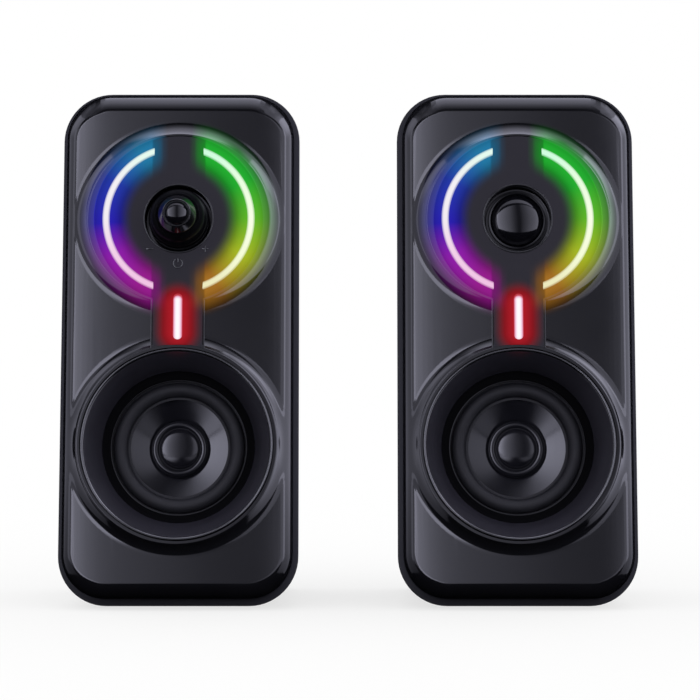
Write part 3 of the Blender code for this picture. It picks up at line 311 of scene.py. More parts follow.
def turned(name: str, profile: Profile, steps: int = FINE_TURN, sweep: float = 2 * math.pi) -> Piece:
    """Turns a profile round the z axis.

    Args:
        name: The piece's name.
        profile: Points as radius and level. A ring's profile ends where it starts.
        steps: The number of edges round the axis.
        sweep: How far round it goes.

    Returns:
        The turned piece.
    """
    bpy.ops.object.select_all(action="DESELECT")
    bpy.ops.mesh.primitive_plane_add(size=MM)
    piece = start_piece(name)
    bpy.ops.mesh.merge(type="CENTER")
    bpy.ops.transform.translate(value=(profile[0][0], 0.0, profile[0][1]))
    for (radius, level), (next_radius, next_level) in zip(profile, profile[1:]):
        move = (next_radius - radius, 0.0, next_level - level)
        bpy.ops.mesh.extrude_vertices_move(TRANSFORM_OT_translate={"value": move})
    bpy.ops.mesh.select_all(action="SELECT")
    bpy.ops.mesh.spin(steps=steps, angle=sweep, center=(0.0, 0.0, 0.0), axis=(0.0, 0.0, 1.0))
    close_piece()
    return piece


def rod(name: str, radius: float, low: float, high: float, steps: int = FINE_TURN) -> Piece:
    """Turns a plain round bar from a low level to a high one, for drilling and for bosses."""
    return turned(name, [(0.0, low), (radius, low), (radius, high), (0.0, high)], steps)


def slab(name: str, low: Sequence[float], high: Sequence[float]) -> Piece:
    """Adds a block between two corners.

    Args:
        name: The piece's name.
        low: The lowest corner.
        high: The highest corner.

    Returns:
        The block.
    """
    bpy.ops.object.select_all(action="DESELECT")
    bpy.ops.mesh.primitive_cube_add(size=1.0)
    piece = start_piece(name)
    size = Vector(high) - Vector(low)
    bpy.ops.transform.resize(value=size, center_override=(0.0, 0.0, 0.0))
    bpy.ops.transform.translate(value=(Vector(high) + Vector(low)) / 2)
    close_piece()
    return piece


def rounded_plate(name: str, half_width: float, half_height: float, corner: float, steps: int = 12) -> Piece:
    """Adds a flat plate with round corners at z = 0, open in edit mode with its face selected.

    Args:
        name: The piece's name.
        half_width: Half of the plate along x.
        half_height: Half of the plate along y.
        corner: The radius of its corners.
        steps: The number of edges round a corner.

    Returns:
        The plate.
    """
    bpy.ops.object.select_all(action="DESELECT")
    bpy.ops.mesh.primitive_plane_add(size=2.0)
    piece = start_piece(name)
    bpy.ops.transform.resize(value=(half_width, half_height, 1.0), center_override=(0.0, 0.0, 0.0))
    bpy.ops.mesh.select_mode(type="VERT")
    bpy.ops.mesh.bevel(offset=corner, segments=steps, affect="VERTICES")
    bpy.ops.mesh.select_mode(type="FACE")
    bpy.ops.mesh.select_all(action="SELECT")
    return piece


def moved(piece: Piece, matrix: Matrix) -> Piece:
    """Moves a piece's mesh and leaves its object at the origin."""
    piece.data.transform(matrix)
    return piece


def shifted(piece: Piece, x: float, y: float, z: float = 0.0) -> Piece:
    """Slides a piece's mesh."""
    return moved(piece, Matrix.Translation((x, y, z)))


def laid_back(piece: Piece, x: float, y: float, z: float) -> Piece:
    """Lays an upright piece down from front to back, with its foot at a point."""
    return moved(piece, Matrix.Translation((x, y, z)) @ Matrix.Rotation(-math.pi / 2, 4, "X"))


def smooth_share(value: float) -> float:
    """Eases a value from 0 to 1, and holds it at the two ends."""
    share = min(1.0, max(0.0, value))
    return share * share * (3.0 - 2.0 * share)


def copied(piece: Piece, name: str) -> Piece:
    """Copies a piece with a mesh of its own."""
    pick(piece)
    bpy.ops.object.duplicate()
    twin = bpy.context.object
    twin.name = name
    return twin


def apply_all(piece: Piece) -> None:
    """Applies every modifier of a piece."""
    pick(piece)
    for modifier in list(piece.modifiers):
        bpy.ops.object.modifier_apply(modifier=modifier.name)


def combine(piece: Piece, tools: Sequence[Piece], cut: Cut) -> Piece:
    """Works other solids into a piece and removes them.

    Args:
        piece: The solid that is kept.
        tools: The solids that are added or taken away.
        cut: Which of the two.

    Returns:
        The same piece.
    """
    for tool in tools:
        modifier = piece.modifiers.new("work", "BOOLEAN")
        modifier.object = tool
        modifier.operation = cut.value
        modifier.solver = "EXACT"
        apply_all(piece)
        bpy.data.objects.remove(tool)
    return piece


def softened(piece: Piece, width: float, segments: int = 2, angle: float = 40.0) -> Piece:
    """Breaks a piece's sharp edges with a small round.

    Args:
        piece: The piece to break the edges of.
        width: The width of the round.
        segments: The number of faces across it.
        angle: The least angle in degrees that counts as sharp.

    Returns:
        The same piece.
    """
    modifier = piece.modifiers.new("edge", "BEVEL")
    modifier.width = width
    modifier.segments = segments
    modifier.limit_method = "ANGLE"
    modifier.angle_limit = math.radians(angle)
    modifier.use_clamp_overlap = True
    apply_all(piece)
    return piece


def smoothed(piece: Piece, angle: float = 32.0, weighted: bool = False) -> Piece:
    """Shades a piece smooth, apart from its sharp edges.

    Args:
        piece: The piece to shade.
        angle: The angle in degrees past which an edge stays sharp.
        weighted: Whether large faces keep their own normals.

    Returns:
        The same piece.
    """
    pick(piece)
    bpy.ops.object.shade_smooth_by_angle(angle=math.radians(angle))
    if weighted:
        modifier = piece.modifiers.new("normals", "WEIGHTED_NORMAL")
        modifier.keep_sharp = True
        apply_all(piece)
    return piece


@dataclass(frozen=True)
class Place:
    """Where the two leaning fronts stand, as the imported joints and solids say.

    Attributes:
        centre: The middle of the active front, on the plane where the two mouldings meet.
        lean: How far the front leans back.
        spacing: How far the passive speaker stands from the active one.
    """

    centre: Vector
    lean: float
    spacing: float

    @classmethod
    def from_frame(cls, disc_rise: float, top_level: float) -> "Place":
        """Reads the place from the knob's joint and the two rear shells.

        Args:
            disc_rise: How far up the face the knob's axis lies.
            top_level: The level on that axis that the joint is given at.

        Returns:
            The place of the fronts.
        """
        turn = next(joint for joint in frame["joints"] if joint["name"] == "volume_turn")
        inward = Vector(turn["axis"])
        lean = math.asin(-inward.z)
        up = Vector((0.0, math.sin(lean), math.cos(lean)))
        centre = Vector(turn["pos_m"]) + inward * top_level - up * disc_rise
        shells = [sum(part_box(f"{side.value}_rear_shell"), Vector()) / 2 for side in BOTH]
        return cls(centre, lean, shells[1].x - shells[0].x)

    @property
    def matrix(self) -> Matrix:
        """Gives the matrix from the flat face to the active speaker's front."""
        return Matrix.Translation(self.centre) @ Matrix.Rotation(math.pi / 2 - self.lean, 4, "X")

    def spot(self, side: Side, rise: float, level: float = 0.0) -> Vector:
        """Gives a point of a front, by its height up the face and its level."""
        return self.matrix @ Vector((0.0, rise, level)) + self.shift(side)

    def shift(self, side: Side) -> Vector:
        """Gives the step from the active speaker to a side's own."""
        return Vector((self.spacing if side is Side.PASSIVE else 0.0, 0.0, 0.0))

    def hung(self, piece: Piece, rise: float = 0.0) -> Piece:
        """Leans a flat piece back and puts it on the active front, at a height up the face."""
        return moved(piece, self.matrix @ Matrix.Translation((0.0, rise, 0.0)))


@dataclass(frozen=True)
class Glow:
    """The glow painted as emission round the arcs and the bar, on the disc, its stem, the front and the horn.

    Attributes:
        place: Where the fronts stand.
        rise: How far up the face the disc's axis lies.
        arc: The radius of the arcs' middle.
        bar: The middle of the bar, from the disc's axis.
        bar_reach: Half of the straight part of the bar's light.
        bright: How far from a guide the painted glow is still full.
        dark: How far from a guide the painted glow ends.
        cool: Colours of the left arc's light from its foot to its head.
        warm: Colours of the right arc's light from its foot to its head.
        red: The colour of the bar's painted glow.
        band: Greys that dim the arcs' painted glow over the dark band, from its middle outwards.
        band_reach: How far from the middle the last grey's end lies.
    """

    place: Place
    rise: float
    arc: float = 28.1
    bar: float = -39.2
    bar_reach: float = 5.2
    bright: float = 0.5
    dark: float = 11.0
    cool: Stops = (
        (0.167, "#96168c"), (0.333, "#8c16a8"), (0.48, "#2418ad"), (0.667, "#1d35a4"), (0.833, "#1d77a3"))
    warm: Stops = (
        (0.167, "#a26c1d"), (0.333, "#a3b61e"), (0.5, "#5cb222"), (0.667, "#1ead2b"), (0.833, "#1cac2b"))
    red: str = "#aa121e"
    band: Stops = (
        (0.333, "#000000"), (0.5, "#595959"), (0.6, "#9b9b9b"), (0.825, "#c6c6c6"), (0.883, "#ffffff"))
    band_reach: float = 12.0

    def face_point(self, tree: Tree, side: Side) -> Node:
        """Adds the place on the face in millimetres from the disc's axis.

        Args:
            tree: The material's node tree.
            side: The speaker that the material is for.

        Returns:
            A node with the place's X and Y sockets.
        """
        coordinate = add_node(tree, "ShaderNodeTexCoord", {})
        mapping = add_node(tree, "ShaderNodeMapping", {
            "Vector": coordinate.outputs["Object"],
            "Location": self.place.spot(side, self.rise),
            "Rotation": (math.pi / 2 - self.place.lean, 0.0, 0.0),
            "Scale": (MM, MM, MM),
        }, vector_type="TEXTURE")
        return add_node(tree, "ShaderNodeSeparateXYZ", {0: mapping.outputs["Vector"]})

    def arc_distance(self, tree: Tree, point: Node) -> Any:
        """Adds the distance from the arcs' middle line, in millimetres, and gives its socket."""
        radius = flat_length(tree, point.outputs["X"], point.outputs["Y"])
        return maths(tree, "ABSOLUTE", maths(tree, "SUBTRACT", radius, self.arc))

    def bar_distance(self, tree: Tree, point: Node, reach: float) -> Any:
        """Adds the distance from the bar's middle line, in millimetres.

        Args:
            tree: The material's node tree.
            point: The place on the face.
            reach: Half of the middle line's length.

        Returns:
            The distance socket.
        """
        away = maths(tree, "ABSOLUTE", maths(tree, "SUBTRACT", point.outputs["Y"], self.bar))
        past = maths(tree, "MAXIMUM", maths(tree, "SUBTRACT", away, reach), 0.0)
        return flat_length(tree, point.outputs["X"], past)

    def by_angle(self, tree: Tree, point: Node, cool: Stops, warm: Stops) -> Any:
        """Adds a colour that runs up the left half and up the right half of the disc.

        Args:
            tree: The material's node tree.
            point: The place on the face.
            cool: The left half's colours.
            warm: The right half's colours.

        Returns:
            The colour socket.
        """
        across = maths(tree, "ABSOLUTE", point.outputs["X"])
        turn = maths(tree, "ARCTAN2", point.outputs["Y"], across)
        share = ranged(tree, turn, (-math.pi / 2, math.pi / 2))
        right = maths(tree, "GREATER_THAN", point.outputs["X"], 0.0)
        return mixed(tree, right, ramp_node(tree, share, cool), ramp_node(tree, share, warm))

    def faded(self, tree: Tree, distance: Any) -> Any:
        """Adds the fall of the painted glow with distance from a guide, and gives its socket."""
        return ranged(tree, distance, (self.bright, self.dark), (1.0, 0.0), "SMOOTHERSTEP")

    def ring_share(self, tree: Tree, point: Node) -> Any:
        """Adds the arcs' painted glow as a share, which ends at the dark band between them.

        Args:
            tree: The material's node tree.
            point: The place on the face.

        Returns:
            The share socket.
        """
        across = maths(tree, "ABSOLUTE", point.outputs["X"])
        beside = ramp_node(tree, ranged(tree, across, (0.0, self.band_reach)), self.band)
        return maths(tree, "MULTIPLY", self.faded(tree, self.arc_distance(tree, point)), beside)

    def light(self, tree: Tree, side: Side) -> tuple[Any, Any]:
        """Adds the whole painted glow of the arcs and the bar.

        Args:
            tree: The material's node tree.
            side: The speaker that the material is for.

        Returns:
            The painted glow's colour socket and its share socket.
        """
        point = self.face_point(tree, side)
        ring = self.ring_share(tree, point)
        bar = self.faded(tree, self.bar_distance(tree, point, self.bar_reach))
        tint = self.by_angle(tree, point, self.cool, self.warm)
        arcs, red = [
            add_node(tree, "ShaderNodeVectorMath", {0: colour, 3: share}, operation="SCALE").outputs[0]
            for colour, share in ((tint, ring), (linear(self.red)[:3], bar))
        ]
        both = add_node(tree, "ShaderNodeVectorMath", {0: arcs, 1: red}, operation="ADD").outputs[0]
        return both, maths(tree, "MAXIMUM", ring, bar)


@dataclass(frozen=True)
class Finish:
    """A plain surface, with patches of colour and gloss and a fine relief.

    Attributes:
        name: The real material and how its surface was made.
        colour: The main colour.
        second: The colour of its patches.
        roughness: The least roughness.
        dull: The roughness of its patches.
        patch: The size of a patch.
        grain: The width of the relief's grain.
        depth: The depth of the relief.
        metallic: 1 for a bare metal.
        specular: The shader's specular level.
    """

    name: str
    colour: str
    second: str
    roughness: float
    dull: float
    patch: float
    grain: float
    depth: float
    metallic: float = 0.0
    specular: float = 0.5

    def material(self, side: Side) -> Material:
        """Gives the finish as a material, made once for each name.

        Args:
            side: The speaker that it is for.

        Returns:
            The material.
        """
        name = self.material_name(side)
        if name in bpy.data.materials:
            return bpy.data.materials[name]
        made = bpy.data.materials.new(name)
        made.use_nodes = True
        tree = made.node_tree
        shader = tree.nodes["Principled BSDF"]
        shader.inputs["Metallic"].default_value = self.metallic
        shader.inputs["Specular IOR Level"].default_value = self.specular
        self.surface(tree, shader)
        self.shine(tree, shader, side)
        return made

    def material_name(self, side: Side) -> str:
        """Gives the material's name."""
        return self.name

    def lit(self, glow: Glow, strength: float) -> "GlowingFinish":
        """Gives the same surface with the glow of the arcs and the bar painted on it."""
        plain = {item.name: getattr(self, item.name) for item in fields(self)}
        return GlowingFinish(**plain, glow=glow, strength=strength)

    def surface(self, tree: Tree, shader: Node) -> None:
        """Adds the patches and the relief.

        Args:
            tree: The material's node tree.
            shader: Its Principled shader.
        """
        coordinate = add_node(tree, "ShaderNodeTexCoord", {}).outputs["Object"]
        patch, grain = [
            add_node(tree, "ShaderNodeTexNoise", {
                "Vector": coordinate, "Scale": 1.0 / size, "Detail": detail}).outputs["Fac"]
            for size, detail in ((self.patch, 3.0), (self.grain, 2.0))
        ]
        relief = add_node(tree, "ShaderNodeBump", {"Height": grain, "Distance": self.depth, "Strength": 1.0})
        sockets = {
            "Base Color": mixed(tree, patch, linear(self.colour), linear(self.second)),
            "Roughness": ranged(tree, patch, NOISE_SPAN, (self.roughness, self.dull)),
            "Normal": relief.outputs[0],
        }
        for name, socket in sockets.items():
            tree.links.new(socket, shader.inputs[name])

    def shine(self, tree: Tree, shader: Node, side: Side) -> None:
        """Adds a surface's own light. A plain surface has none."""


@dataclass(frozen=True)
class GlowingFinish(Finish):
    """A surface with the glow of the arcs and the bar painted on it as emission, though it is no lamp.

    Attributes:
        glow: The painted glow.
        strength: The strength of the painted glow on this surface.
        clear: Whether the painted glow takes the place of the surface's own colour.
        cover: The share of painted glow at which that colour is wholly hidden.
        covered: The near-black colour put under the painted glow.
    """

    glow: Glow = field(default=None)
    strength: float = 1.0
    clear: bool = False
    cover: float = 0.55
    covered: str = "#050506"

    def material_name(self, side: Side) -> str:
        """Gives the material's name, which differs on each speaker."""
        return f"{self.name} {side.value}"

    def emit(self, tree: Tree, shader: Node, light: Any) -> None:
        """Links a light's colour to the shader."""
        tree.links.new(light, shader.inputs["Emission Color"])
        shader.inputs["Emission Strength"].default_value = self.strength

    def shine(self, tree: Tree, shader: Node, side: Side) -> None:
        """Adds the painted glow.

        Args:
            tree: The material's node tree.
            shader: Its Principled shader.
            side: The speaker that the material is for.
        """
        # Painted glow: the arcs' and bar's light is painted on as emission, and under it the surface's own
        # colour turns near black.
        light, share = self.glow.light(tree, side)
        self.emit(tree, shader, light)
        if self.clear:
            tone = shader.inputs["Base Color"].links[0].from_socket
            under_painted_glow = mixed(tree, ranged(tree, share, (0.0, self.cover)), tone, linear(self.covered))
            tree.links.new(under_painted_glow, shader.inputs["Base Color"])


@dataclass(frozen=True)
class ArcGuideFinish(GlowingFinish):
    """A lit arc: near white in its middle and tinted at its edges.

    Attributes:
        edge: The distances from the middle line, in millimetres, that the tint begins and is full at.
        edge_tint: The share of the tint at the edge.
        cool_core: Colours of the left arc's middle from its foot to its head.
        warm_core: Colours of the right arc's middle from its foot to its head.
    """

    edge: tuple[float, float] = (0.5, 1.5)
    edge_tint: float = 0.7
    cool_core: Stops = (
        (0.167, "#efc1e1"), (0.333, "#efcce5"), (0.5, "#efe9ee"), (0.667, "#f0ecf1"), (0.833, "#e3f8ec"))
    warm_core: Stops = (
        (0.167, "#ebe8ba"), (0.333, "#f4fbd5"), (0.5, "#f6fce3"), (0.667, "#e7fcdc"), (0.833, "#cffbdd"))

    def shine(self, tree: Tree, shader: Node, side: Side) -> None:
        """Adds the arc's light.

        Args:
            tree: The material's node tree.
            shader: Its Principled shader.
            side: The speaker that the material is for.
        """
        glow = self.glow
        point = glow.face_point(tree, side)
        edge = ranged(tree, glow.arc_distance(tree, point), self.edge, (0.0, self.edge_tint), "SMOOTHSTEP")
        core = glow.by_angle(tree, point, self.cool_core, self.warm_core)
        tint = glow.by_angle(tree, point, glow.cool, glow.warm)
        self.emit(tree, shader, mixed(tree, edge, core, tint))


@dataclass(frozen=True)
class BarGuideFinish(GlowingFinish):
    """The lit bar: white in its middle, pink and then red at its edge.

    Attributes:
        reach: Half of the middle line's length, in millimetres.
        half: Half of the bar's width, in millimetres.
        core: Colours from the middle line to the edge.
    """

    reach: float = 7.2
    half: float = 1.9
    core: Stops = (
        (0.0, "#fdfdfd"), (0.3, "#fdf4f8"), (0.62, "#eec4dc"), (0.9, "#d05a70"), (1.0, "#b4303c"))

    def shine(self, tree: Tree, shader: Node, side: Side) -> None:
        """Adds the bar's light.

        Args:
            tree: The material's node tree.
            shader: Its Principled shader.
            side: The speaker that the material is for.
        """
        point = self.glow.face_point(tree, side)
        distance = self.glow.bar_distance(tree, point, self.reach)
        self.emit(tree, shader, ramp_node(tree, ranged(tree, distance, (0.0, self.half)), self.core))


# ABS moulded in a polished tool: near black, with soft wide reflections that ripple a little.
GLOSS_ABS = Finish("ABS moulded in a polished tool", "#08080a", "#0b0b0d", 0.09, 0.12, 26 * MM, 2.6 * MM,
                   0.0006 * MM)
# Lacquered ABS: a harder, mirror-like black for the small turned pieces.
LACQUERED_ABS = Finish("ABS lacquered to a mirror", "#050507", "#08080b", 0.07, 0.10, 12 * MM, 3.0 * MM,
                       0.0002 * MM)
# Soft-touch lacquer on the knob: a deep black that keeps only small faint highlights.
KNOB_LACQUER = Finish("ABS coated with soft lacquer", "#040405", "#060608", 0.16, 0.2, 12 * MM, 3.0 * MM,
                      0.0002 * MM, specular=0.16)
# The horn's crest, polished in the tool: a thin bright line round the mouth.
POLISHED_CREST = Finish("ABS polished in the tool", "#08080a", "#0b0b0d", 0.12, 0.15, 26 * MM, 2.6 * MM,
                        0.0004 * MM, specular=1.0)
# A hard clear coat on the knob's collar: black that mirrors the colours of the lights round it.
COLLAR_LACQUER = Finish("ABS under a hard clear coat", "#050507", "#08080b", 0.08, 0.1, 12 * MM, 3.0 * MM,
                        0.0002 * MM, specular=0.8)
# ABS moulded in a spark-eroded tool: a fine even sparkle and a soft grey sheen, drawn coarse enough to show.
SATIN_ABS = Finish("ABS moulded in a spark-eroded tool", "#17171b", "#1c1c21", 0.48, 0.55, 20 * MM, 0.5 * MM,
                   0.02 * MM, specular=0.2)
# ABS moulded in a fine-blasted tool: the horn's wall, a dark grey that brightens softly towards a lamp.
BLASTED_ABS = Finish("ABS moulded in a fine-blasted tool", "#17161b", "#1b1a20", 0.34, 0.40, 15 * MM,
                     0.4 * MM, 0.004 * MM)
# Matt black gasket, and painted shade: near black with almost no gloss, it stands in for the shade on the
# horn's floor.
GASKET_AND_SHADE = Finish("foam gasket, skinned black", "#030304", "#060607", 0.8, 0.95, 3 * MM, 0.4 * MM, 0.02 * MM,
                specular=0.02)
# Butyl rubber, moulded: a soft dark grey bloom with hardly any gloss.
ROLL_RUBBER = Finish("butyl rubber, moulded", "#101013", "#16161a", 0.55, 0.65, 4 * MM, 0.3 * MM, 0.008 * MM,
                     specular=0.3)
# Polypropylene film, vacuum formed: black and glossy with faint drawing ripples.
CONE_FILM = Finish("polypropylene film, vacuum formed", "#0a0a0d", "#101014", 0.13, 0.18, 6 * MM, 1.8 * MM,
                   0.0004 * MM)
# Silicone rubber, moulded: matt grey-black with fine dust in it.
PAD_RUBBER = Finish("silicone rubber, moulded", "#1a1a1c", "#242427", 0.7, 0.85, 5 * MM, 0.4 * MM, 0.03 * MM)
# Zinc plated steel, pressed: pale, with cloudy patches in its gloss.
ZINC_STEEL = Finish("steel, pressed and zinc plated", "#b9bcc0", "#8f949a", 0.28, 0.45, 6 * MM, 0.5 * MM,
                    0.003 * MM, metallic=1.0)
# Black passivated steel for the screws: dark, with worn paler patches.
SCREW_STEEL = Finish("steel, turned and black passivated", "#2a2b2e", "#4a4b50", 0.3, 0.42, 1.2 * MM,
                     0.3 * MM, 0.004 * MM, metallic=1.0)
# Enamelled copper wire, wound: warm metal in close turns.
WOUND_COPPER = Finish("copper wire, enamelled and wound", "#b0602e", "#8a4520", 0.25, 0.4, 2 * MM, 0.25 * MM,
                      0.02 * MM, metallic=1.0)
# Sintered ferrite: dull charcoal with a gritty skin.
FERRITE = Finish("ferrite, sintered and ground", "#2b2b2c", "#38383a", 0.6, 0.8, 3 * MM, 0.35 * MM, 0.02 * MM)
# Phenolic cotton cloth, pressed: tan, woven and matt.
SPIDER_CLOTH = Finish("cotton cloth, pressed with resin", "#a9824a", "#8b6736", 0.75, 0.9, 1.2 * MM,
                      0.45 * MM, 0.06 * MM)
# Glass-fibre board under solder mask: mottled green with a soft gloss.
CIRCUIT_BOARD = Finish("glass-fibre board, solder masked", "#14522f", "#1d6a3c", 0.3, 0.45, 5 * MM, 0.6 * MM,
                       0.01 * MM)


@dataclass
class Fitter:
    """Puts finished pieces on the frame, on one speaker or on both."""

    place: Place

    def sided(self, piece: Piece, noun: str, sides: Sequence[Side]) -> list[tuple[Side, Piece]]:
        """Gives a piece for each side, each with its own mesh, in its place.

        Args:
            piece: The piece as it stands on the active speaker.
            noun: The name of the piece, without its side.
            sides: The speakers that have it.

        Returns:
            Each side with its piece.
        """
        made = []
        for number, side in enumerate(sides):
            name = f"{side.value}_{noun}"
            own = piece if number + 1 == len(sides) else copied(piece, name)
            own.name = name
            own.data.name = name
            moved(own, Matrix.Translation(self.place.shift(side)))
            made.append((side, own))
        return made

    def finish(self, piece: Piece, side: Side, finishes: Sequence[Finish], slot: str) -> None:
        """Gives a piece its materials, and reports it.

        Args:
            piece: The piece, which keeps the material number of each face.
            side: The speaker it is on.
            finishes: One finish for each material number.
            slot: The record's material slot; not used.
        """
        for finish in finishes:
            piece.data.materials.append(finish.material(side))
        log.info("fitted %s: %d faces", piece.name, len(piece.data.polygons))

    def fit(self, piece: Piece, noun: str, nodes: Sequence[str], slot: str, *finishes: Finish,
            body: str = "{side}_cabinet", sides: Sequence[Side] = BOTH) -> None:
        """Fits a rigid piece in place of its solids.

        Args:
            piece: The piece as it stands on the active speaker.
            noun: The name of the piece, without its side.
            nodes: The solids it stands for, without their side.
            slot: The record's material slot.
            *finishes: One finish for each material number of its faces.
            body: The body it moves with.
            sides: The speakers that have it.
        """
        for side, own in self.sided(piece, noun, sides):
            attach(own, body.format(side=side.value))
            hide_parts(*[f"{side.value}_{node}" for node in nodes])
            self.finish(own, side, finishes, slot)

    def fit_flexing(self, piece: Piece, noun: str, node: str, slot: str, finish: Finish, rise: float,
                    outer: float, inner: float) -> None:
        """Fits a ring that flexes between the cabinet at its outer edge and the cone at its inner one.

        Args:
            piece: The ring as it stands on the active speaker.
            noun: The name of the ring, without its side.
            node: The solid it stands for, without its side.
            slot: The record's material slot.
            finish: The ring's finish.
            rise: How far up the face the ring's axis lies.
            outer: The radius at which it stands still.
            inner: The radius at which it moves with the cone.
        """
        for side, own in self.sided(piece, noun, BOTH):
            start = self.place.spot(side, rise)
            axis = (self.place.spot(side, rise, 1.0) - start).normalized()
            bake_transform(own, f"{side.value}_cabinet", f"{side.value}_diaphragm", start, start + axis)
            weights = own.data.attributes["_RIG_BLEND"].data
            for vertex, weight in zip(own.data.vertices, weights):
                arm = vertex.co - start
                radius = (arm - axis * arm.dot(axis)).length
                weight.value = smooth_share((outer - radius) / (outer - inner))
            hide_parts(f"{side.value}_{node}")
            self.finish(own, side, (finish,), slot)


@dataclass
class Levels:
    """Levels and places that the front's sub-assemblies share, out from the plane where the mouldings meet.

    Attributes:
        base: The front moulding's foot.
        face: The crown of the face.
        top: The tops of the disc, the stem and the horn ring.
        lit: The tops of the light guides and the well.
        seat: The floor of the light panel's recess.
        ceiling: The roof of the hollow behind the disc.
        mount: The face of the plate that the driver sits behind.
        mount_back: The back of that plate.
        disc: The disc's axis, up from the middle of the face.
        woofer: The woofer's axis, up from the middle of the face.
    """

    base: float = 0.3 * MM
    face: float = 13.6 * MM
    top: float = 16.0 * MM
    lit: float = 16.2 * MM
    seat: float = 14.2 * MM
    ceiling: float = 12.2 * MM
    mount: float = 1.5 * MM
    mount_back: float = -0.9 * MM
    disc: float = 48.0 * MM
    woofer: float = -39.7 * MM


@dataclass
class LightGuides:
    """The two lit arcs and the lit bar."""

    levels: Levels
    radius: float = 28.1 * MM
    width: float = 2.8 * MM
    end: float = 9.6 * MM
    bar_middle: float = -38.4 * MM
    bar_width: float = 3.6 * MM
    bar_length: float = 17.8 * MM
    edge: float = 0.45 * MM
    slot_edge: float = 0.05 * MM
    sweep: float = 160.0
    arc_steps: int = 88
    bar_steps: int = 64

    def arc(self, name: str, mirrored: bool, growth: float, low: float, high: float) -> Piece:
        """Turns an arc round the disc's axis and cuts its ends straight.

        Args:
            name: The piece's name.
            mirrored: Whether it is the left arc.
            growth: How much wider it is on each side, for a slot.
            low: The level of its foot.
            high: The level of its head.

        Returns:
            The arc, flat, round the disc's axis.
        """
        inner = self.radius - self.width / 2 - growth
        outer = self.radius + self.width / 2 + growth
        edge = self.edge if growth == 0.0 else self.slot_edge
        middle = self.radius
        ring = eased([
            (middle, low), (outer, low), (outer, high), (inner, high), (inner, low), (middle, low),
        ], edge)
        piece = turned(name, ring, self.arc_steps, math.radians(self.sweep))
        start = self.sweep / 2 - 180.0 if mirrored else self.sweep / 2
        moved(piece, Matrix.Rotation(math.radians(start), 4, "Z"))
        cut = -(self.end - growth) if mirrored else self.end - growth
        reopen(piece)
        bpy.ops.mesh.bisect(plane_co=(cut, 0.0, 0.0), plane_no=(1.0, 0.0, 0.0), use_fill=True,
                            clear_inner=not mirrored, clear_outer=mirrored)
        close_piece()
        return piece

    def bar(self, name: str, growth: float, low: float, high: float) -> Piece:
        """Pulls a round disc out to a pill and raises it.

        Args:
            name: The piece's name.
            growth: How much wider it is on each side, for a slot.
            low: The level of its foot.
            high: The level of its head.

        Returns:
            The bar, flat, placed from the disc's axis.
        """
        radius = self.bar_width / 2 + growth
        reach = (self.bar_length - self.bar_width) / 2
        bpy.ops.object.select_all(action="DESELECT")
        bpy.ops.mesh.primitive_circle_add(vertices=self.bar_steps, radius=radius, fill_type="NGON")
        piece = start_piece(name)
        edge = self.edge if growth == 0.0 else self.slot_edge
        bpy.ops.object.mode_set(mode="OBJECT")
        for vertex in piece.data.vertices:
            vertex.co.y += math.copysign(reach, vertex.co.y) if abs(vertex.co.y) > MERGE_DISTANCE else 0.0
        bpy.ops.object.mode_set(mode="EDIT")
        bpy.ops.mesh.select_mode(type="FACE")
        bpy.ops.mesh.select_all(action="SELECT")
        bpy.ops.transform.translate(value=(0.0, self.bar_middle, low))
        bpy.ops.mesh.extrude_region_move(TRANSFORM_OT_translate={"value": (0.0, 0.0, high - low - edge)})
        bpy.ops.mesh.inset(thickness=edge * 0.35, depth=edge * 0.65)
        bpy.ops.mesh.inset(thickness=edge * 0.65, depth=edge * 0.35)
        fill_open()
        close_piece()
        return piece

    def slots(self, growth: float, low: float, high: float) -> list[Piece]:
        """Makes the cutters for the guides' slots, flat, placed from the disc's axis."""
        return [
            self.arc("left_slot", True, growth, low, high),
            self.arc("right_slot", False, growth, low, high),
            self.bar("bar_slot", growth, low, high),
        ]

    def build(self, fitter: Fitter, glow: Glow) -> None:
        """Models the guides and dresses them.

        Args:
            fitter: Puts the pieces on the frame.
            glow: The light they give.
        """
        # Acrylic, moulded clear and lit from below: white where it shines straight out, tinted at its edges.
        arcs = ArcGuideFinish("acrylic, moulded clear and lit", "#101010", "#141414", 0.25, 0.3, 5 * MM,
                              0.8 * MM, 0.002 * MM, specular=0.2, glow=glow)
        bars = BarGuideFinish("acrylic, moulded red and lit", "#140808", "#180a0a", 0.25, 0.3, 5 * MM,
                              0.8 * MM, 0.002 * MM, specular=0.2, glow=glow)
        levels = self.levels
        left = self.arc("left", True, 0.0, levels.ceiling, levels.lit)
        right = self.arc("right", False, 0.0, levels.ceiling, levels.lit)
        bar = self.bar("bar", 0.0, levels.ceiling, levels.lit)
        for piece in (left, right, bar):
            smoothed(fitter.place.hung(piece, levels.disc), 50.0)
        fitter.fit(left, "left_arc_guide", ["light_arc_left"], "cool_light_guide", arcs)
        fitter.fit(right, "right_arc_guide", ["light_arc_right"], "warm_light_guide", arcs)
        fitter.fit(bar, "bar_guide", ["light_bar"], "red_light_guide", bars)


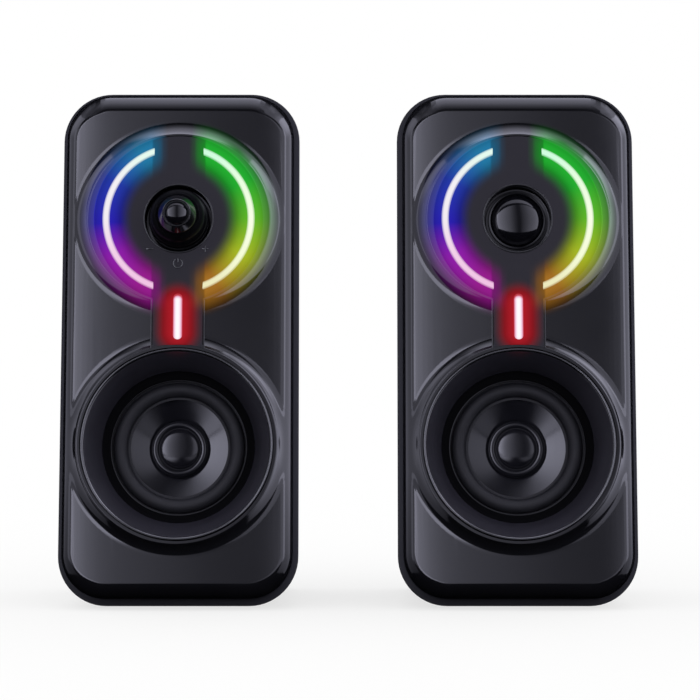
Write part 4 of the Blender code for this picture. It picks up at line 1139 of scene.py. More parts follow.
@dataclass
class FrontMoulding:
    """The leaning front: a crowned block with a wide round edge, a raised disc, a stem and a horn ring."""

    levels: Levels
    guides: LightGuides
    half_width: float = 44.5 * MM
    half_height: float = 98.5 * MM
    corner: float = 17.1 * MM
    edge_width: float = 4.6 * MM
    edge_height: float = 6.5 * MM
    top_width: float = 8.0 * MM
    foot_width: float = 6.2 * MM
    ease_depth: float = 24.0 * MM
    bulge: float = 2.0 * MM
    bulge_half: float = 46.5 * MM
    wall: float = 2.4 * MM
    columns: int = 47
    disc_radius: float = 33.2 * MM
    disc_stretch: float = 1.06
    disc_reach: float = 6.5 * MM
    horn_radius: float = 38.2 * MM
    horn_reach: float = 5.8 * MM
    strip_width: float = 2.0 * MM
    strip_ease: float = 3.5 * MM
    recess_radius: float = 32.8 * MM
    stem_half: float = 10.4 * MM
    stem_recess: float = 9.9 * MM
    horn_bore: float = 37.3 * MM
    horn_ledge: float = 13.2 * MM
    cup_bore: float = 36.0 * MM
    cup_outer: float = 38.4 * MM
    opening: float = 26.2 * MM
    well_hole: float = 14.0 * MM
    hollow_radius: float = 32.2 * MM
    tongue_half: float = 7.1 * MM
    tongue_end: float = -49.2 * MM
    foot_lift: float = 0.4 * MM
    shoulder_ease: float = 0.35 * MM
    side_steps: int = 26
    round_steps: int = 14
    side_gap: float = 0.3 * MM
    turn_steps: int = 240
    lift_mm: tuple[float, float] = (0.008, 0.03)
    lift_rate: float = 6.0
    sink_mm: tuple[float, float] = (0.03, 0.14)
    sink_start: float = 0.8
    sink_run: float = 0.2
    least_near: float = 0.5
    stem_in_horn: float = 2.0 * MM
    stem_in_disc: float = 3.0 * MM
    stem_root: float = 3.4 * MM
    stem_drop: float = 0.03 * MM
    stem_ease: float = 0.2 * MM
    slot_gap: float = 0.2 * MM
    # Painted glow on the front: its strength, reach and band, as emission round the disc.
    spill: float = 0.9
    spill_reach: float = 12.5
    spill_band: Stops = ((0.4, "#000000"), (0.95, "#ffffff"))

    def block(self, name: str, inset: float, base: float) -> Piece:
        """Raises the crowned block from a plate, one step of its round edge at a time.

        Args:
            name: The piece's name.
            inset: How much smaller it is all round, for the hollow behind the face.
            base: The level of its foot.

        Returns:
            The block, flat.
        """
        height = self.levels.face - inset
        piece = rounded_plate(name, self.half_width - inset, self.half_height - inset, self.corner - inset)
        bpy.ops.transform.translate(value=(0.0, 0.0, base))
        wall = height - self.edge_height - base
        bpy.ops.mesh.extrude_region_move(TRANSFORM_OT_translate={"value": (0.0, 0.0, wall)})
        degrees = [90.0 * step / self.round_steps for step in range(self.round_steps + 1)]
        round_over(self.edge_width, self.edge_height, degrees)
        fill_open()
        for column in range(1, self.columns):
            x = self.half_width * (2.0 * column / self.columns - 1.0)
            bpy.ops.mesh.select_all(action="SELECT")
            bpy.ops.mesh.bisect(plane_co=(x, 0.0, 0.0), plane_no=(1.0, 0.0, 0.0))
        close_piece()
        end = self.half_height - inset
        for vertex in piece.data.vertices:
            share = (vertex.co.z - base) / (height - base)
            round_share = max(0.0, 1.0 - (height - vertex.co.z) / self.edge_height)
            down = self.end_shift(end - vertex.co.y, self.top_width)
            up = self.end_shift(end + vertex.co.y, self.foot_width)
            vertex.co.y += (up - down) * round_share
            vertex.co.z -= self.bulge * (vertex.co.x / self.bulge_half) ** 2 * share
        return piece

    def end_shift(self, depth: float, width: float) -> float:
        """Gives how far the wider round of an end moves a point in.

        Args:
            depth: The point's depth from that end.
            width: The width of that end's round.

        Returns:
            The shift, which eases off further in.
        """
        if depth < self.edge_width:
            return (width - self.edge_width) * max(0.0, depth) / self.edge_width
        return (width - self.edge_width) * max(0.0, 1.0 - (depth - self.edge_width) / self.ease_depth)

    def block_level(self, x: float, y: float) -> tuple[float, float]:
        """Gives the block's surface under a point of the face.

        Args:
            x: The point's place across.
            y: The point's height up the face.

        Returns:
            The surface's level, and how far inside the block's outline the point lies.
        """
        out = Vector((max(0.0, abs(x) - self.half_width + self.corner),
                      max(0.0, abs(y) - self.half_height + self.corner)))
        inside = min(self.half_width - abs(x), self.half_height - abs(y))
        depth = self.corner - out.length if out.x > 0.0 and out.y > 0.0 else inside
        across = min(1.0, max(0.0, 1.0 - depth / self.edge_width))
        level = self.levels.face - self.edge_height * (1.0 - math.sqrt(1.0 - across * across))
        share = (level - self.levels.base) / (self.levels.face - self.levels.base)
        return level - self.bulge * (x / self.bulge_half) ** 2 * share, depth

    def nearness(self, depth: float) -> float:
        """Gives how far a point stands clear of the block's outer edge, from 0 to 1, by its depth inside."""
        return smooth_share((depth - self.strip_width) / self.strip_ease)

    def settled(self, start: Vector, point: Vector, share: float, end: float) -> float:
        """Lets the side of a raised form run down to the block below it.

        Args:
            start: The point where the side begins.
            point: A point on the side.
            share: How far down the full side the point lies, from 0 to 1.
            end: How close the point is to the side's own end, from 0 to 1.

        Returns:
            The level that the point gets.
        """
        ground, depth = self.block_level(point.x, point.y)
        first, first_depth = self.block_level(start.x, start.y)
        near = self.nearness(depth) / max(self.least_near, self.nearness(first_depth))
        fall = (start.z - first) * (1.0 - share) ** 3 * min(1.0, near)
        strip = 1.0 - min(1.0, near)
        lift, sink = [(least + more * strip) * MM for least, more in (self.lift_mm, self.sink_mm)]
        lift *= min(1.0, share * self.lift_rate)
        sink = sink * max(0.0, end - self.sink_start) / self.sink_run
        return ground + fall + lift - sink

    def raised(self, name: str, radius: float, reach: float, rise: float, stretch: float = 1.0) -> Piece:
        """Turns a raised disc whose side runs out smoothly into the face.

        Args:
            name: The piece's name.
            radius: The radius of its flat top.
            reach: How far its side runs out where there is room.
            rise: How far up the face its axis lies.
            stretch: How many times wider than high it is.

        Returns:
            The disc, flat.
        """
        top = self.levels.top
        foot = self.levels.base + self.foot_lift
        shoulder = eased([
            (radius - 0.3 * MM, top), (radius + 0.2 * MM, top), (radius + 0.5 * MM, top - 0.3 * MM),
        ], self.shoulder_ease)
        begin, level = shoulder[-1]
        steps = self.side_steps
        side = [(begin + reach * step / steps, level) for step in range(1, steps + 1)]
        profile = [(0.0, top)] + shoulder + side + [(begin + reach, foot), (0.0, foot)]
        piece = shifted(turned(name, profile, self.turn_steps), 0.0, rise)
        axis = Vector((0.0, rise, 0.0))
        for vertex in piece.data.vertices:
            arm = Vector((vertex.co.x, vertex.co.y - rise, 0.0))
            out = arm.length - begin
            way = arm.normalized()
            grown = 1.0 / max(TINY, Vector((way.x / stretch, way.y)).length)
            if out < TINY:
                vertex.co.x = way.x * arm.length * grown
                vertex.co.y = rise + way.y * arm.length * grown
                continue
            first = begin * grown
            room = min(reach, (self.half_width - self.side_gap) / max(abs(way.x), TINY) - first)
            high = vertex.co.z > foot + TINY
            start = axis + way * first
            start.z = level
            end = out / reach
            place = axis + way * (first + end * room)
            place.z = self.settled(start, place, end * room / reach, end) if high else foot
            vertex.co = place
        return piece

    def stem(self) -> Piece:
        """Raises the stem between the disc and the horn ring."""
        low = self.levels.woofer + self.horn_radius - self.stem_in_horn
        high = self.levels.disc - self.disc_radius + self.stem_in_disc
        foot = self.levels.face - self.stem_root
        top = self.levels.top - self.stem_drop
        piece = slab("stem", (-self.stem_half, low, foot), (self.stem_half, high, top))
        return softened(piece, self.stem_ease, 3)

    def build(self, fitter: Fitter, glow: Glow) -> None:
        """Models the moulding and dresses it.

        Args:
            fitter: Puts the piece on the frame.
            glow: The glow of the arcs, painted on it as emission.
        """
        levels = self.levels
        piece = self.block("front", 0.0, levels.base)
        combine(piece, [
            self.raised("puck", self.disc_radius, self.disc_reach, levels.disc, self.disc_stretch),
            self.raised("ring", self.horn_radius, self.horn_reach, levels.woofer),
            self.stem(),
        ], Cut.ADD)
        combine(piece, [self.block("hollow", self.wall, -MARGIN)], Cut.TAKE)
        cup = rod("cup", self.cup_outer, levels.mount_back, levels.face)
        combine(piece, [shifted(cup, 0.0, levels.woofer)], Cut.ADD)
        high = levels.top + MARGIN
        drills = [
            rod("bore", self.horn_bore, self.horn_ledge, high),
            rod("cup_bore", self.cup_bore, levels.mount, levels.top),
            rod("opening", self.opening, levels.mount_back - MARGIN, levels.top),
        ]
        combine(piece, [shifted(drill, 0.0, levels.woofer) for drill in drills], Cut.TAKE)
        recess_low = levels.woofer + self.horn_radius
        hollow_low = levels.disc + self.tongue_end
        combine(piece, [
            shifted(rod("recess", self.recess_radius, levels.seat, high), 0.0, levels.disc),
            slab("stem_recess", (-self.stem_recess, recess_low, levels.seat),
                 (self.stem_recess, levels.disc, high)),
            shifted(rod("puck_hollow", self.hollow_radius, -MARGIN, levels.ceiling), 0.0, levels.disc),
            slab("tongue", (-self.tongue_half, hollow_low, -MARGIN),
                 (self.tongue_half, levels.disc, levels.ceiling)),
            shifted(rod("well_hole", self.well_hole, 0.0, levels.top), 0.0, levels.disc),
        ], Cut.TAKE)
        slots = self.guides.slots(self.slot_gap, levels.ceiling - MARGIN, levels.top)
        combine(piece, [shifted(slot, 0.0, levels.disc) for slot in slots], Cut.TAKE)
        smoothed(piece, 30.0, weighted=True)
        fitter.place.hung(piece)
        # The arcs' glow is painted on the opaque front as emission, without the bar's red.
        painted_spill = replace(glow, dark=self.spill_reach, red="#000000", band=self.spill_band)
        fitter.fit(piece, "front_moulding", ["front_panel"], "gloss_black", GLOSS_ABS.lit(painted_spill, self.spill))


@dataclass
class RearMoulding:
    """The rear shell, with its feet, its cord gland and its screws."""

    corner: float = 19.0 * MM
    fillet: float = 8.0 * MM
    wall: float = 2.75 * MM
    rim_round: float = 0.35 * MM
    draft: float = 1.7 * MM
    tower_wall: float = 1.5 * MM
    tower_floor: float = 5.0 * MM
    ahead: float = 20.0 * MM
    round_degrees: tuple[int, ...] = (0, 12, 24, 36, 48, 60, 72, 82, 90)
    head: float = 2.2 * MM
    head_gap: float = 0.3 * MM
    shank: float = 1.5 * MM
    pitch: float = 1.1 * MM
    screw_hole: float = 1.8 * MM
    pocket_gap: float = 0.3 * MM
    groove_step: float = 2.2 * MM
    groove_half: float = 0.3 * MM
    groove_end: float = 3.0 * MM
    groove_depth: float = 0.25 * MM
    gland_bore: float = 2.3 * MM
    gland_neck: float = 4.7 * MM
    gland_flange: float = 1.5 * MM
    cord_hole: float = 5.0 * MM
    cord_depth: float = 12.0 * MM

    def tub(self, place: Place) -> Piece:
        """Pulls a plate back to a tub, rounds its rear edge and gives it a wall.

        Args:
            place: Where the fronts stand.

        Returns:
            The shell, in its place.
        """
        low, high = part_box("active_rear_shell")
        middle = (low + high) / 2
        half = (high - low) / 2
        piece = rounded_plate("rear", half.x, half.z, self.corner, 14)
        depth = high.y - low.y
        bpy.ops.mesh.extrude_region_move(
            TRANSFORM_OT_translate={"value": (0.0, 0.0, depth + self.ahead - self.fillet)})
        round_over(self.fillet, self.fillet, self.round_degrees)
        bpy.ops.object.mode_set(mode="OBJECT")
        laid_back(piece, middle.x, low.y - self.ahead, middle.z)
        reopen(piece)
        out = place.spot(Side.ACTIVE, 0.0, 1.0) - place.centre
        bpy.ops.mesh.bisect(plane_co=place.centre, plane_no=out, clear_outer=True)
        choose(piece, lambda spot, normal: normal.dot(out) > 0.9)
        bpy.ops.mesh.delete(type="FACE")
        close_piece()
        for vertex in piece.data.vertices:
            behind = -(vertex.co - place.centre).dot(out)
            vertex.co.x -= math.copysign(self.draft * behind / depth, vertex.co.x - middle.x)
        shell = piece.modifiers.new("wall", "SOLIDIFY")
        shell.thickness = self.wall
        shell.offset = -1.0
        shell.use_even_offset = True
        shell.use_rim = True
        apply_all(piece)
        return softened(piece, self.rim_round, 3, 60.0)

    def bar_along(self, name: str, radius: float, x: float, z: float, front: float, back: float) -> Piece:
        """Turns a bar that lies from front to back, and puts it in its place."""
        return laid_back(rod(name, radius, front, back, 48), x, 0.0, z)

    def screw(self, low: Vector, high: Vector) -> Piece:
        """Turns a pan-head screw and presses a cross into its head.

        Args:
            low: The lowest corner of its solid.
            high: The highest corner of its solid.

        Returns:
            The screw, in its place.
        """
        radius = (high.x - low.x) / 2
        length = high.y - low.y
        head, shank, pitch = self.head, self.shank, self.pitch
        tip = [(0.0, -length), (shank * 0.5, -length + 0.8 * MM)]
        thread = []
        level = -length + 1.0 * MM
        while level + pitch < -head - 2.0 * MM:
            thread += [(shank * 0.8, level), (shank, level + pitch * 0.5)]
            level += pitch
        top = [(shank * 0.8, level), (shank * 0.8, -head), (radius, -head), (radius, -head * 0.45)]
        crown = eased([(radius, -head * 0.45), (radius * 0.85, -0.1 * MM), (0.0, 0.0)], 1.2 * MM)
        piece = turned("screw", tip + thread + top + crown[1:], 40)
        for turn in (0.0, math.pi / 2):
            blade = slab("blade", (-0.4 * MM, -1.7 * MM, -1.3 * MM), (0.4 * MM, 1.7 * MM, MARGIN))
            combine(piece, [moved(blade, Matrix.Rotation(turn + 0.3, 4, "Z"))], Cut.TAKE)
        middle = (low + high) / 2
        return laid_back(piece, middle.x, high.y, middle.z)

    def pad(self, low: Vector, high: Vector) -> Piece:
        """Presses a rubber foot, with a round edge and three grooves under it.

        Args:
            low: The lowest corner of its solid.
            high: The highest corner of its solid.

        Returns:
            The foot, in its place.
        """
        piece = softened(slab("pad", low, high), 0.4 * MM, 3)
        middle = (low + high) / 2
        grooves = []
        for step in (-1, 0, 1):
            y = middle.y + step * self.groove_step
            grooves.append(slab(
                "groove", (low.x + self.groove_end, y - self.groove_half, low.z - MARGIN),
                (high.x - self.groove_end, y + self.groove_half, low.z + self.groove_depth)))
        return combine(piece, grooves, Cut.TAKE)

    def gland(self, low: Vector, high: Vector) -> Piece:
        """Turns the rubber gland that a cord would leave by.

        Args:
            low: The lowest corner of its solid.
            high: The highest corner of its solid.

        Returns:
            The gland, in its place.
        """
        radius = (high.x - low.x) / 2
        length = high.y - low.y
        bore, flange, neck = self.gland_bore, self.gland_flange, self.gland_neck
        outer = eased([
            (bore + 0.4 * MM, 0.0), (5.2 * MM, 0.0), (radius, -0.6 * MM), (radius, -flange),
            (neck, -flange), (neck, -length), (bore, -length),
        ], 0.4 * MM)
        inner = [(bore, -0.4 * MM), (bore + 0.4 * MM, 0.0)]
        piece = turned("gland", outer + inner, 64)
        middle = (low + high) / 2
        return laid_back(piece, middle.x, high.y, middle.z)

    def build(self, fitter: Fitter) -> None:
        """Models the shell and what is fixed to it, and dresses them.

        Args:
            fitter: Puts the pieces on the frame.
        """
        piece = self.tub(fitter.place)
        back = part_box("active_rear_shell")[1].y
        screws = [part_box(f"active_case_screw_{number}") for number in range(1, 5)]
        feet = {name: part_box(f"active_{name}") for name in ("foot_front", "foot_rear")}
        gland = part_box("active_cable_gland")
        for low, high in screws:
            middle = (low + high) / 2
            head = (high.x - low.x) / 2 + self.head_gap
            seat = high.y - self.head
            front = seat - self.tower_floor
            spot = (middle.x, middle.z)
            tower = self.bar_along("tower", head + self.tower_wall, *spot, front, back - MARGIN)
            combine(piece, [tower], Cut.ADD)
            well = self.bar_along("well", head, *spot, seat - self.head_gap, back + MARGIN)
            hole = self.bar_along("hole", self.screw_hole, *spot, front - MARGIN, back)
            combine(piece, [well, hole], Cut.TAKE)
        gap = Vector((self.pocket_gap, self.pocket_gap, 0.0))
        for low, high in feet.values():
            pocket = slab("pocket", low - gap - Vector((0.0, 0.0, MARGIN)), high + gap)
            combine(piece, [pocket], Cut.TAKE)
        middle = (gland[0] + gland[1]) / 2
        start = back - self.cord_depth
        hole = self.bar_along("cord_hole", self.cord_hole, middle.x, middle.z, start, back + MARGIN)
        combine(piece, [hole], Cut.TAKE)
        smoothed(piece, 30.0, weighted=True)
        fitter.fit(piece, "rear_moulding", ["rear_shell"], "satin_black", SATIN_ABS)
        for number, (low, high) in enumerate(screws, 1):
            screw = smoothed(self.screw(low, high))
            fitter.fit(screw, f"screw_{number}", [f"case_screw_{number}"], "zinc_steel", SCREW_STEEL)
        for node, (low, high) in feet.items():
            pad = smoothed(self.pad(low, high))
            fitter.fit(pad, node.replace("foot", "pad"), [node], "rubber", PAD_RUBBER)
        fitter.fit(smoothed(self.gland(*gland)), "cord_gland", ["cable_gland"], "rubber", PAD_RUBBER)


@dataclass
class LightPanel:
    """The smoked plate over the disc and the stem, with its raised marks."""

    levels: Levels
    guides: LightGuides
    radius: float = 32.5 * MM
    stem_half: float = 9.6 * MM
    foot_radius: float = 38.5 * MM
    back: float = 14.5 * MM
    hole: float = 13.73 * MM
    edge: float = 0.15 * MM
    mark_rise: float = 0.25 * MM
    mark_root: float = 0.2 * MM
    mark_stroke: float = 0.5 * MM
    mark_ease: float = 0.14 * MM
    power_ease: float = 0.07 * MM
    power_radius: float = 1.75 * MM
    power_drop: float = 17.6 * MM
    power_gap: float = 0.85 * MM
    power_stroke: float = 1.9 * MM
    power_rise: float = 1.3 * MM
    sign_drop: float = 12.0 * MM
    minus_aside: float = 11.0 * MM
    minus_length: float = 3.0 * MM
    plus_aside: float = 10.5 * MM
    plus_length: float = 2.7 * MM
    foot_overlap: float = 6.0 * MM
    stem_overlap: float = 20.0 * MM
    hole_steps: int = 120
    slot_gap: float = 0.03 * MM

    def plate(self) -> Piece:
        """Cuts the plate from a disc and a stem, with its slots."""
        levels = self.levels
        disc = levels.disc
        piece = shifted(rod("plate", self.radius, self.back, levels.top), 0.0, disc)
        foot = levels.woofer + self.foot_radius - self.foot_overlap
        stem = slab("stem", (-self.stem_half, foot, self.back),
                    (self.stem_half, disc - self.stem_overlap, levels.top))
        combine(piece, [stem], Cut.ADD)
        low = self.back - MARGIN
        high = levels.top + MARGIN
        cutters = [
            shifted(rod("foot", self.foot_radius, low, high), 0.0, levels.woofer),
            shifted(rod("hole", self.hole, low, high, self.hole_steps), 0.0, disc),
        ]
        cutters += [shifted(slot, 0.0, disc) for slot in self.guides.slots(self.slot_gap, low, high)]
        return softened(combine(piece, cutters, Cut.TAKE), self.edge, 2, 60.0)

    def stroke(self, x: float, y: float, width: float, height: float) -> Piece:
        """Raises one stroke of a mark.

        Args:
            x: The stroke's middle across.
            y: Its middle up the face.
            width: Its size across.
            height: Its size up the face.

        Returns:
            The stroke, flat.
        """
        top = self.levels.top
        piece = slab("stroke", (x - width / 2, y - height / 2, top - self.mark_root),
                     (x + width / 2, y + height / 2, top + self.mark_rise))
        return softened(piece, self.mark_ease)

    def marks(self) -> Piece:
        """Raises the minus, plus and power signs round the knob."""
        top = self.levels.top
        stroke = self.mark_stroke
        row = self.levels.disc - self.sign_drop
        low = self.levels.disc - self.power_drop
        middle = self.power_radius
        outer = middle + stroke / 2
        inner = middle - stroke / 2
        root = top - self.mark_root
        crest = top + self.mark_rise
        ring = eased([
            (middle, root), (outer, root), (outer, crest), (inner, crest), (inner, root), (middle, root),
        ], self.power_ease, 2)
        power = turned("marks", ring, 60)
        half = self.power_gap
        gap = slab("gap", (-half, 0.2 * MM, top - MARGIN), (half, 4.0 * MM, top + MARGIN))
        combine(power, [gap], Cut.TAKE)
        shifted(power, 0.0, low)
        return combine(power, [
            self.stroke(0.0, low + self.power_rise, stroke, self.power_stroke),
            self.stroke(-self.minus_aside, row, self.minus_length, stroke),
            self.stroke(self.plus_aside, row, self.plus_length, stroke),
            self.stroke(self.plus_aside, row, stroke, self.plus_length),
        ], Cut.ADD)

    def build(self, fitter: Fitter, glow: Glow) -> None:
        """Models the plate and the marks, and dresses them.

        Args:
            fitter: Puts the pieces on the frame.
            glow: The glow painted on the plate as emission.
        """
        # Acrylic, tinted and satin on top: a flat dark grey, with the lights' colours painted on it as a glow
        # of emission that turns the grey near black where it is strong.
        smoked = GlowingFinish("acrylic, smoked and satin", "#222125", "#242327", 0.42, 0.48, 18 * MM,
                               0.7 * MM, 0.002 * MM, specular=0.04, glow=glow, clear=True)
        # The same acrylic left polished on the raised marks, so that their edges catch the light.
        polished = Finish("acrylic, smoked and polished", "#050506", "#070708", 0.2, 0.25, 4 * MM, 0.7 * MM,
                          0.001 * MM, specular=0.75)
        fitter.fit(fitter.place.hung(self.plate()), "smoked_plate", ["light_panel"], "smoked_panel", smoked)
        marks = smoothed(fitter.place.hung(self.marks()), 30.0)
        fitter.fit(marks, "control_marks", [], "smoked_panel", polished, sides=(Side.ACTIVE,))


@dataclass
class Control:
    """The well in the disc, with the bell-shaped knob on one speaker and a fixed dome on the other."""

    levels: Levels
    well_radius: float = 13.7 * MM
    well_bore: float = 13.0 * MM
    well_floor: float = 8.6 * MM
    well_back: float = 7.1 * MM
    well_hole: float = 4.8 * MM
    knob_base: float = 10.4 * MM
    knob_top: float = 27.75 * MM
    collar_foot: float = 24.5 * MM
    skirt: float = 11.45 * MM
    knob_ceiling: float = 14.1 * MM
    cap_seat: float = 26.9 * MM
    cap_bore: float = 4.9 * MM
    cap_radius: float = 4.7 * MM
    cap_apex: float = 29.7 * MM
    shaft_radius: float = 3.05 * MM

    def well(self) -> Piece:
        """Turns the cup round the knob."""
        hole, bore, outer = self.well_hole, self.well_bore, self.well_radius
        back, floor, lit = self.well_back, self.well_floor, self.levels.lit
        rim = eased([
            (hole, back), (outer, back), (outer, lit), (bore, lit), (bore, floor), (hole, floor),
            (hole, back),
        ], 0.25 * MM, 4)
        return turned("well", rim)

    def knob(self) -> Piece:
        """Turns the bell: a wide skirt, a waist and a bevelled collar with a seat for the cap."""
        base, ceiling, seat = self.knob_base, self.knob_ceiling, self.cap_seat
        bell = eased([
            (self.skirt, base), *mm((11.75, 15.2), (11.55, 16.6), (9.75, 18.3), (8.5, 20.4), (7.8, 22.6)),
            (7.4 * MM, self.collar_foot), *mm((7.01, 25.1), (5.65, 27.2), (5.45, 27.5)),
            (5.2 * MM, self.knob_top), *mm((4.95, 27.4)), (self.cap_bore, seat),
        ], 3.0 * MM, 6)
        hollow = [
            (self.shaft_radius, seat), (self.shaft_radius, ceiling), (self.cap_bore, ceiling),
            (9.6 * MM, ceiling), (9.85 * MM, base), (self.skirt, base),
        ]
        piece = turned("knob", bell + hollow, SMALL_TURN)
        for face in piece.data.polygons:
            face.material_index = 1 if face.center.z > self.collar_foot and face.normal.z > 0.3 else 0
        return piece

    def cap(self) -> Piece:
        """Turns the dome in the knob's tip."""
        seat = self.cap_seat + 0.05 * MM
        foot = [(0.0, seat), (self.cap_radius, seat), (self.cap_radius, 27.3 * MM)]
        return turned("cap", foot + dome_profile(4.65 * MM, 27.4 * MM, self.cap_apex, 20), SMALL_TURN)

    def dome(self) -> Piece:
        """Turns the fixed dome, with a step and a flange round it."""
        corners = mm((0.0, 8.9), (12.1, 8.9), (12.1, 9.9), (11.2, 9.9), (11.1, 10.75), (10.4, 10.75))
        foot = eased(corners, 0.12 * MM)
        return turned("dome", foot + dome_profile(10.3 * MM, 10.8 * MM, 15.0 * MM, 24))

    def build(self, fitter: Fitter) -> None:
        """Models the well, the knob and the dome, and dresses them.

        Args:
            fitter: Puts the pieces on the frame.
        """
        on_knob = {"body": "volume_knob", "sides": (Side.ACTIVE,)}
        rows = (
            (self.well, "well_cup", "control_well", (GLOSS_ABS,), {}),
            (self.knob, "bell_knob", "volume_knob", (KNOB_LACQUER, COLLAR_LACQUER), on_knob),
            (self.cap, "cap_dome", "knob_cap", (LACQUERED_ABS,), on_knob),
            (self.dome, "blank_dome", "blanking_dome", (LACQUERED_ABS,), {"sides": (Side.PASSIVE,)}),
        )
        for model, noun, node, finishes, options in rows:
            piece = smoothed(fitter.place.hung(model(), self.levels.disc))
            fitter.fit(piece, noun, [node], "gloss_black", *finishes, **options)


@dataclass
class Woofer:
    """The horn ring and the drive unit behind it."""

    levels: Levels
    horn_radius: float = 37.0 * MM
    crest: float = 35.6 * MM
    seat: float = 13.5 * MM
    horn_floor: float = 3.0 * MM
    flange: float = 28.9 * MM
    roll_outer: float = 25.6 * MM
    roll_inner: float = 19.9 * MM
    roll_top: float = 1.65 * MM
    roll_seat: float = -1.2 * MM
    gauge: float = 0.7 * MM
    cone_edge: float = 20.6 * MM
    cone_lip: float = 19.0 * MM
    cone_level: float = -2.2 * MM
    cone_neck: float = 9.8 * MM
    neck_level: float = -9.7 * MM
    spider_outer: float = 19.9 * MM
    spider_rest: float = 15.5 * MM
    spider_inner: float = 9.8 * MM
    spider_level: float = -11.4 * MM
    spider_gauge: float = 0.6 * MM
    spider_wave: float = 0.6 * MM
    horn_inner: float = 26.5 * MM
    gasket_edge: float = 29.5 * MM
    crest_depth: float = 0.7 * MM
    cone_gauge: float = 0.8 * MM
    # The share of the bar's glow painted on the horn's top as emission.
    spill: float = 0.18

    def horn(self) -> Piece:
        """Turns the flared ring, with a matt gasket on its floor that is kept near black as painted shade."""
        floor, inner, outer = self.horn_floor, self.horn_inner, self.horn_radius
        back = floor - 1.2 * MM
        inside = eased([
            (inner, floor), (29.3 * MM, floor),
            *mm((30.4, 5.86), (32.4, 10.15), (34.5, 13.66), (35.9, 15.75)),
            (36.5 * MM, self.levels.top), (outer, 15.8 * MM), (outer, self.seat),
        ], 1.6 * MM)
        outside = [(35.3 * MM, self.seat), *mm((34.0, 10.6), (32.3, 5.6)), (31.7 * MM, back), (inner, back),
                   (inner, floor)]
        piece = turned("horn", inside + outside)
        for face in piece.data.polygons:
            flat = Vector((face.center.x, face.center.y)).length
            # The floor inside the gasket edge gets the near-black gasket, which is also painted shade.
            face.material_index = 1 if flat < self.gasket_edge and face.center.z > back else 0
            if flat > self.crest and face.center.z > self.levels.top - self.crest_depth:
                face.material_index = 2
        return piece

    def surround(self) -> Piece:
        """Turns the half roll, with its flange and its lip."""
        middle = (self.roll_outer + self.roll_inner) / 2
        half = (self.roll_outer - self.roll_inner) / 2
        top = self.roll_top - self.roll_seat
        angles = [math.pi * step / 20 for step in range(21)]
        seat = self.roll_seat
        under = seat - self.gauge
        front = [(self.flange, seat)]
        front += [(middle + half * math.cos(angle), seat + top * math.sin(angle)) for angle in angles]
        front += [(self.cone_lip, seat), (self.cone_lip, under)]
        thin = half - self.gauge
        back = [(middle - thin * math.cos(angle), under + top * math.sin(angle)) for angle in angles]
        back += [(self.flange, under), (self.flange, seat)]
        return turned("surround", front + back)

    def cone(self) -> Piece:
        """Turns the cone, a little hollow along its flank, with a rolled lip."""
        edge, level, gauge = self.cone_edge, self.cone_level, self.cone_gauge
        front = eased([
            (edge, level), (19.6 * MM, level), *mm((11.4, -5.3)), (self.cone_neck, self.neck_level),
        ], 1.0 * MM, 6)
        back = [(self.cone_neck, self.neck_level - gauge), (11.0 * MM, -6.2 * MM - gauge),
                (self.cone_lip, level - gauge), (edge, level - gauge), (edge, level)]
        return turned("cone", front + back)

    def dust_cap(self) -> Piece:
        """Turns the dust cap: a bead round a low dome."""
        corners = mm((11.3, -5.3), (10.9, -4.6), (10.2, -3.9), (9.4, -3.75), (8.7, -4.0), (8.2, -4.7))
        bead = eased(corners, 1.0 * MM)
        dome = dome_profile(8.0 * MM, -4.7 * MM, -2.2 * MM, 20)
        under = mm((0.0, -3.0), (5.6, -4.3), (8.0, -5.5), (11.0, -5.9), (11.3, -5.3))
        return turned("dust_cap", bead + dome + under)

    def spider(self) -> Piece:
        """Turns the waved cloth ring that centres the coil."""
        steps = 48
        front = [(self.spider_outer, self.spider_level), (self.spider_rest, self.spider_level)]
        for step in range(1, steps + 1):
            share = step / steps
            radius = self.spider_rest + (self.spider_inner - self.spider_rest) * share
            wave = self.spider_wave * math.sin(share * math.pi * 5) * math.sin(share * math.pi) ** 0.5
            front.append((radius, self.spider_level + wave))
        back = [(radius, height - self.spider_gauge) for radius, height in reversed(front)]
        return turned("spider", front + back + front[:1])

    def build(self, fitter: Fitter, glow: Glow) -> None:
        """Models the woofer's moving and fixed rings, and dresses them.

        Args:
            fitter: Puts the pieces on the frame.
            glow: The glow of the bar, painted as emission on the top of the horn.
        """
        rise = self.levels.woofer
        moving = {"body": "{side}_diaphragm"}
        # The horn's wall has the bar's glow painted on it; its floor gets the gasket, which also serves as
        # painted shade.
        horn = (BLASTED_ABS.lit(glow, self.spill), GASKET_AND_SHADE, POLISHED_CREST)
        rows = (
            (self.horn, "horn_ring", "horn", "gloss_black", horn, {}),
            (self.cone, "cone_flank", "cone", "cone_film", (CONE_FILM,), moving),
            (self.dust_cap, "dust_dome", "dust_cap", "cone_film", (CONE_FILM,), moving),
        )
        for model, noun, node, slot, finishes, options in rows:
            piece = smoothed(fitter.place.hung(model(), rise))
            fitter.fit(piece, noun, [node], slot, *finishes, **options)
        roll = smoothed(fitter.place.hung(self.surround(), rise))
        fitter.fit_flexing(roll, "half_roll", "surround", "rubber", ROLL_RUBBER, rise, self.roll_outer,
                           self.roll_inner)
        cloth = smoothed(fitter.place.hung(self.spider(), rise))
        fitter.fit_flexing(cloth, "centring_cloth", "spider", "woven_spider", SPIDER_CLOTH, rise,
                           self.spider_rest, self.spider_inner)


